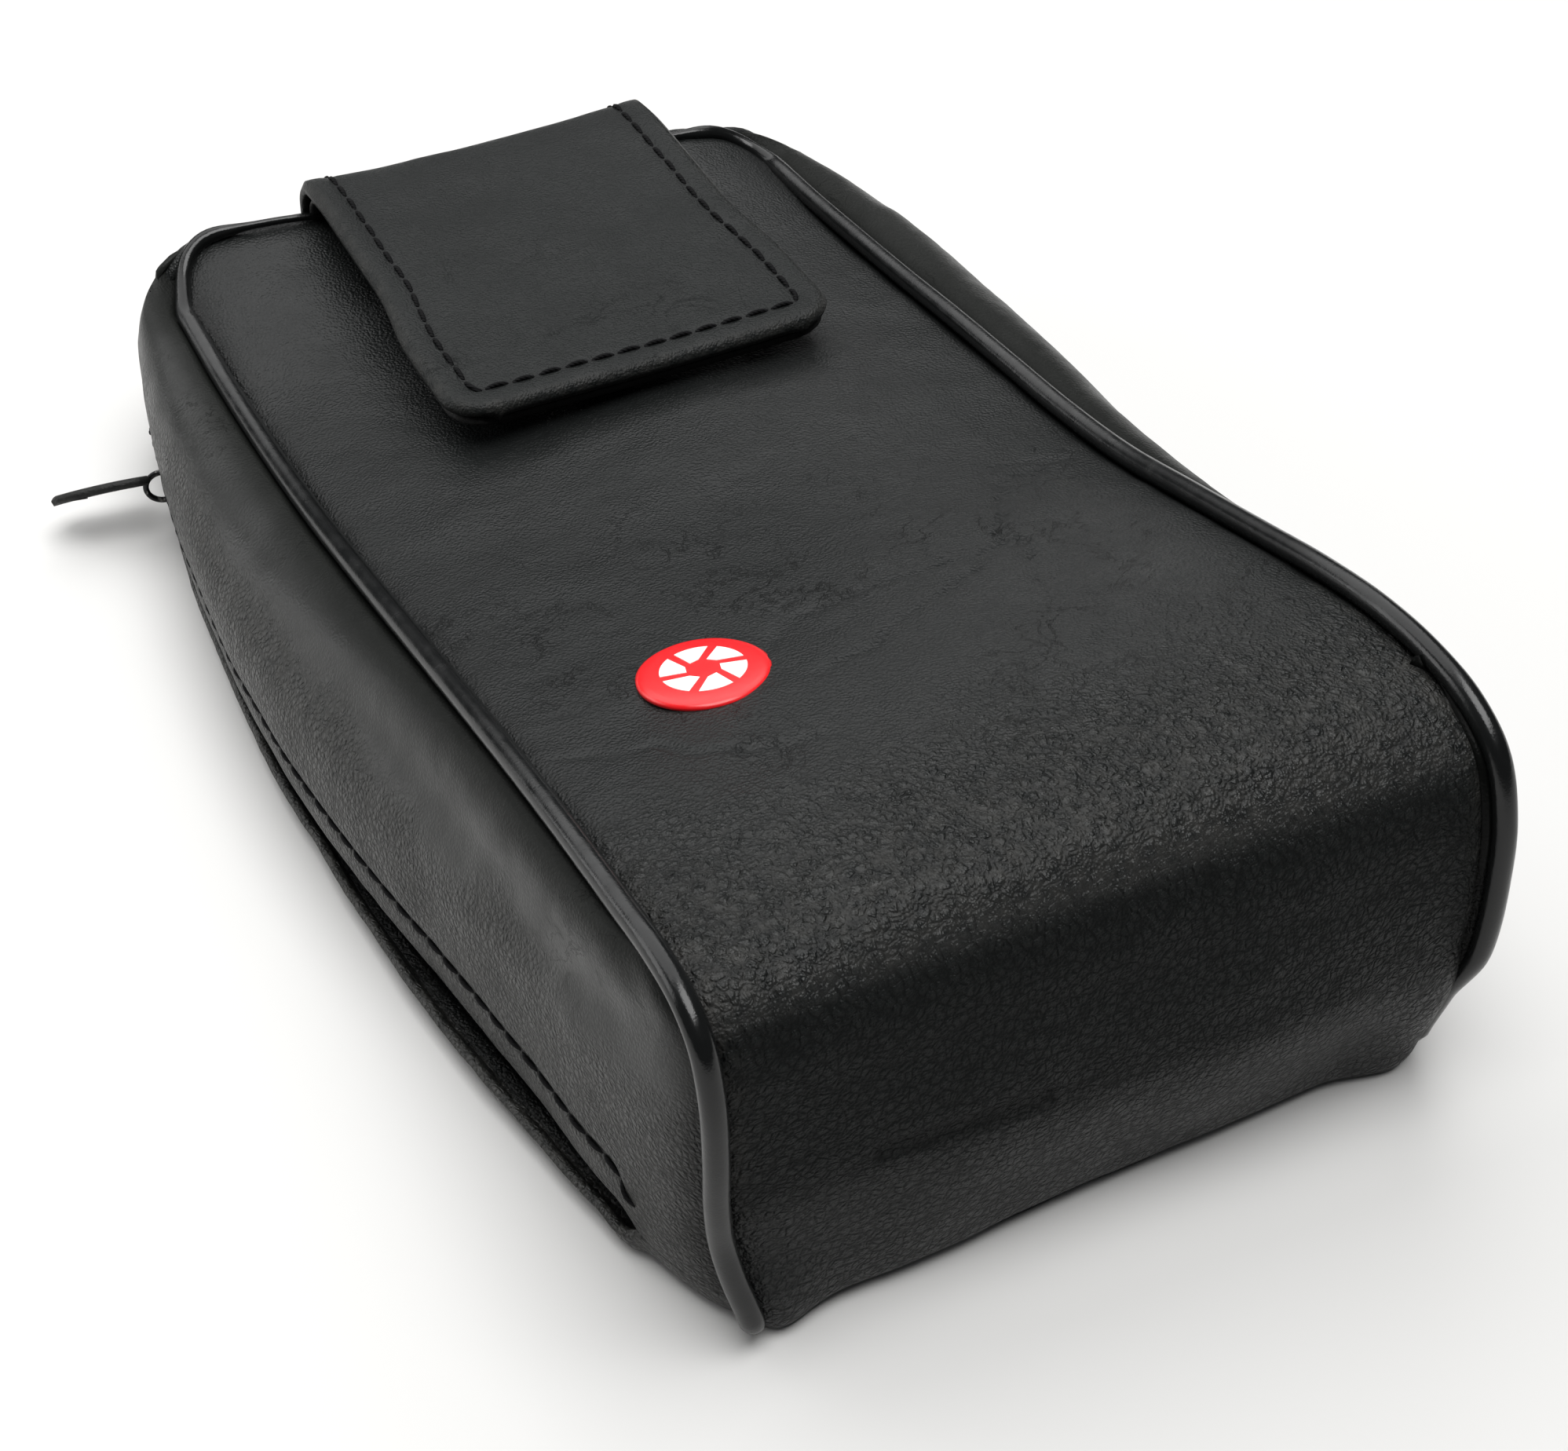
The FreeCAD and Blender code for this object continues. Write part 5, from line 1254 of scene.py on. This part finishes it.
stitch_col = int(upper_left.shape[1] * (1 - 5.0 / 38))
hem_line = upper_left[:, stitch_col]
hem_up = outward_of(upper_left, -1)[:, stitch_col]
keep_rows = (hem_line[:, 1] < SLIT_TOP + 1) & (hem_line[:, 1] > SLIT_BASE - 4)
hem_run = curve(hem_line[keep_rows], step=0.5)
hem_run_up = np.repeat(hem_up[keep_rows], 3, axis=0)[:len(hem_run)]
joined("hem_stitches", stitches(hem_run, hem_run_up, 2.4, 0.55, 0.24, sink=0.0, seed=8), THREAD, "thread",
       replaces=["hem_stitching"])

TRACK_X = BOW_RADIUS - HALF_WIDTH
TRACK_RADIUS = BOW_RADIUS - 5.1


def track(y, out=0.0):
    """A point's X on the chain's arc at Y, moved outwards."""
    return TRACK_X - np.sqrt((TRACK_RADIUS + out) ** 2 - (y - BOW_CENTRE) ** 2)


CHAIN_TOP = SLIT_TOP - 2.5
CHAIN_BASE = SLIT_BASE + 2.5
COIL_PITCH = 1.15
COIL_RADIUS = 0.42
COIL_SAMPLES = 12
for word, height, outwards in (("upper", 7.9, 0.9), ("lower", 2.35, 0.0)):
    turns = int((CHAIN_TOP - CHAIN_BASE) / COIL_PITCH)
    samples = turns * COIL_SAMPLES
    y = np.linspace(CHAIN_TOP, CHAIN_BASE, samples)
    angle = np.linspace(0, turns * 2 * math.pi, samples)
    x = track(y, outwards) + COIL_RADIUS * np.cos(angle)
    z = height + COIL_RADIUS * np.sin(angle)
    tube(f"{word}_coil", np.stack([x, y, z], 1), 0.17, COIL, "zip_coil", sides=6,
         replaces=[f"{word}_zip_coil"])

tape_y = np.linspace(SLIT_TOP, SLIT_BASE, 120)
# each tape: how far outside the chain's arc it starts, then its section as (inwards, height)
TAPES = (
    ("upper", 1.4, [(0, 8.2), (0.05, 10.0), (0.15, 12.0), (0.3, 14.0)]),
    ("lower", 0.1, [(0, 1.95), (1.2, 1.9), (2.4, 1.85), (3.4, 1.8)]),
)
for word, outside, section in TAPES:
    tape_rows = [[(track(y, outside) + inwards, y, up) for inwards, up in section] for y in tape_y]
    sheet(f"{word}_tape", np.array(tape_rows), 0.35, TAPE, "zip_tape", replaces=[f"{word}_zip_tape"])


# ---------------------------------------------------------------- slider and pull
def rounded_block(size, place, axes, rounding, steps=3):
    """Points and faces of a block with rounded edges; axes are its own directions."""
    shape = bmesh.new()
    bmesh.ops.create_cube(shape, size=1.0)
    for vertex in shape.verts:
        vertex.co = Vector((vertex.co.x * size[0], vertex.co.y * size[1], vertex.co.z * size[2]))
    bmesh.ops.bevel(shape, geom=list(shape.edges), offset=rounding, segments=steps, affect="EDGES",
                    profile=0.6)
    shape.verts.ensure_lookup_table()
    axes = np.array([unit(np.asarray(axis, float)) for axis in axes])
    points = np.array([vertex.co for vertex in shape.verts]) @ axes + np.asarray(place, float)
    faces = [[vertex.index for vertex in face.verts] for face in shape.faces]
    shape.free()
    return points, faces


slider_mid = middle("zip_slider_body")
angle = math.asin((slider_mid[1] - BOW_CENTRE) / TRACK_RADIUS)
along_track = np.array([math.sin(angle), math.cos(angle), 0.0])
out_track = np.array([-math.cos(angle), math.sin(angle), 0.0])
up_track = np.array([0.0, 0.0, 1.0])
chain_point = np.array([track(slider_mid[1]), slider_mid[1], slider_mid[2]])
slider_axes = (out_track, along_track, up_track)
SLIDER_PLATE = (0.6, 9.0, 5.8)
PLATE_OFFSET = 1.2
slider_parts = [
    rounded_block(SLIDER_PLATE, chain_point + out_track * PLATE_OFFSET, slider_axes, 0.25),
    rounded_block(SLIDER_PLATE, chain_point - out_track * PLATE_OFFSET, slider_axes, 0.25),
    rounded_block((1.9, 2.0, 2.0), chain_point - along_track * 3.4, slider_axes, 0.3),
]
joined("slider_body", slider_parts, BLACK_METAL, "black_metal", body=SLIDER, replaces=["zip_slider_body"])
# the bridge's bow as (outwards, along the track)
BRIDGE_BOW = [(1.45, -2.6), (2.5, -2.4), (3.2, -1.5), (3.3, 0.0), (3.2, 1.5), (2.5, 2.4), (1.45, 2.6)]
bridge_points = [chain_point + out_track * outwards + along_track * along for outwards, along in BRIDGE_BOW]
tube("slider_bridge", curve(bridge_points, step=0.25), 0.42, BLACK_METAL, "black_metal", body=SLIDER,
     replaces=["zip_slider_bridge"])

RING_RADIUS = 2.0
RING_WIRE = 0.35
RING_STEPS = 48
WIRE_SIDES = 12
ring_turn = np.linspace(0, 2 * math.pi, RING_STEPS, endpoint=False)
wire_turn = np.linspace(0, 2 * math.pi, WIRE_SIDES, endpoint=False)
ring_middle = chain_point + out_track * (3.2 + 1.0)
ring_parts = []
for outwards in np.cos(ring_turn)[:, None] * out_track + np.sin(ring_turn)[:, None] * up_track:
    section = np.cos(wire_turn)[:, None] * outwards + np.sin(wire_turn)[:, None] * along_track
    ring_parts.append(ring_middle + RING_RADIUS * outwards + RING_WIRE * section)
mesh_piece("pull_ring", np.concatenate(ring_parts), ring_faces(RING_STEPS, WIRE_SIDES, closed=True),
           BLACK_METAL, "black_metal", body=PULL, replaces=["zip_pull_ring"])

tilt = math.radians(37)
tab_width_axis = along_track * math.cos(tilt) - up_track * math.sin(tilt)
tab_face = np.cross(out_track, tab_width_axis)
if tab_face[2] < 0:
    tab_face = -tab_face
TAB_LENGTH = 10.4
TAB_HALF_WIDTH = 3.0
TAB_STRAIGHT = 7.6
tab_rows = []
tab_root = chain_point + out_track * 5.9
for share in np.linspace(0, 1, 26):
    reach = share * TAB_LENGTH
    round_tip = max(0.0, reach - TAB_STRAIGHT)
    half = TAB_HALF_WIDTH * math.sqrt(max(1 - (round_tip / 2.85) ** 2, 0.02))
    if share < 0.12:
        half = 2.2 + 0.8 * share / 0.12
    droop = -0.7 * share ** 2
    centre = tab_root + out_track * reach + up_track * droop
    across = np.linspace(-1, 1, 16)[:, None]
    tab_rows.append(centre + across * half * tab_width_axis + tab_face * (0.5 - 0.1 * across ** 4))
sheet("pull_tab", np.array(tab_rows), 1.0, TAB_LEATHER, "flap_lining_leather", body=PULL,
      replaces=["zip_pull_tab"], marks={"pebble": 0.3, "wear": 0.2, "cracked": 0.1, "shade": 0.0})
rivet_place = tab_root + out_track * 8.2 + up_track * -0.45 + tab_face * 0.45
lathe("pull_rivet_head", [(0.01, 0.62), (0.5, 0.56), (0.9, 0.36), (1.15, 0.08), (1.15, -0.1), (0.01, -0.1)],
      rivet_place, tab_face, BLACK_METAL, "black_metal", sides=32, body=PULL, replaces=["zip_pull_rivet"])

for node in ("zip_top_stop", "zip_bottom_stop"):
    centre, size = middle(node), high(node) - low(node)
    points, faces = rounded_block((1.8, 1.6, size[2]), centre, slider_axes, 0.35)
    mesh_piece(f"{node}_clip", points, faces, BLACK_METAL, "black_metal", replaces=[node])

# ---------------------------------------------------------------- CAD nodes that stay
FINISHES = {"board": BOARD, "lining_cloth": LINING, "closure_steel": STEEL, "foam": FOAM, "cord": CORD}
for part in frame["record"]["subparts"]:
    node = frame["nodes"][part["node"]]
    if node.hide_render:
        continue
    node.data.materials.clear()
    node.data.materials.append(FINISHES[part["material_slot"]])

# ---------------------------------------------------------------- floor, lights and camera
floor_mesh = bpy.data.meshes.new("floor")
floor_corners = [(x, y, -0.0001) for x, y in ((-4, -4), (4, -4), (4, 4), (-4, 4))]
floor_mesh.from_pydata(floor_corners, [], [(0, 1, 2, 3)])
floor = bpy.data.objects.new("floor", floor_mesh)
bpy.context.scene.collection.objects.link(floor)
floor_material, _, floor_shader = shader("floor", roughness=0.9, Specular_IOR_Level=0.1)
floor_shader.inputs["Base Color"].default_value = (0.66, 0.656, 0.645, 1.0)
floor_mesh.materials.append(floor_material)


def area_light(name, place, target, width, height, power, colour=(1.0, 1.0, 1.0)):
    data = bpy.data.lights.new(name, "AREA")
    data.shape = "RECTANGLE"
    data.size = width
    data.size_y = height
    data.energy = power
    data.color = colour
    lamp = bpy.data.objects.new(name, data)
    lamp.location = place
    lamp.rotation_euler = (Vector(target) - Vector(place)).to_track_quat("-Z", "Y").to_euler()
    bpy.context.scene.collection.objects.link(lamp)


area_light("back_box", (0.05, 0.75, 0.95), (0, 0, 0), 1.7, 1.1, 12.5)
area_light("left_box", (-0.95, 0.65, 0.40), (0, 0, 0.02), 0.8, 0.6, 4.5)
area_light("overhead", (0.05, -0.20, 1.20), (0, -0.02, 0), 1.0, 0.8, 17)
bpy.context.scene.view_settings.view_transform = "Standard"

world = bpy.data.worlds.new("studio")
world.use_nodes = True
world.node_tree.nodes["Background"].inputs["Color"].default_value = (0.95, 0.97, 1.0, 1.0)
world.node_tree.nodes["Background"].inputs["Strength"].default_value = 0.07
bpy.context.scene.world = world

camera_data = bpy.data.cameras.new("camera")
camera_data.lens = 64.68
camera_data.sensor_width = 36.0
camera_data.sensor_fit = "HORIZONTAL"
camera = bpy.data.objects.new("camera", camera_data)
camera.location = (-0.0981, -0.20694, 0.20755)
camera.rotation_euler = (math.radians(90 - 42.33), 0.0, math.radians(-26.41))
bpy.context.scene.collection.objects.link(camera)
bpy.context.scene.camera = camera
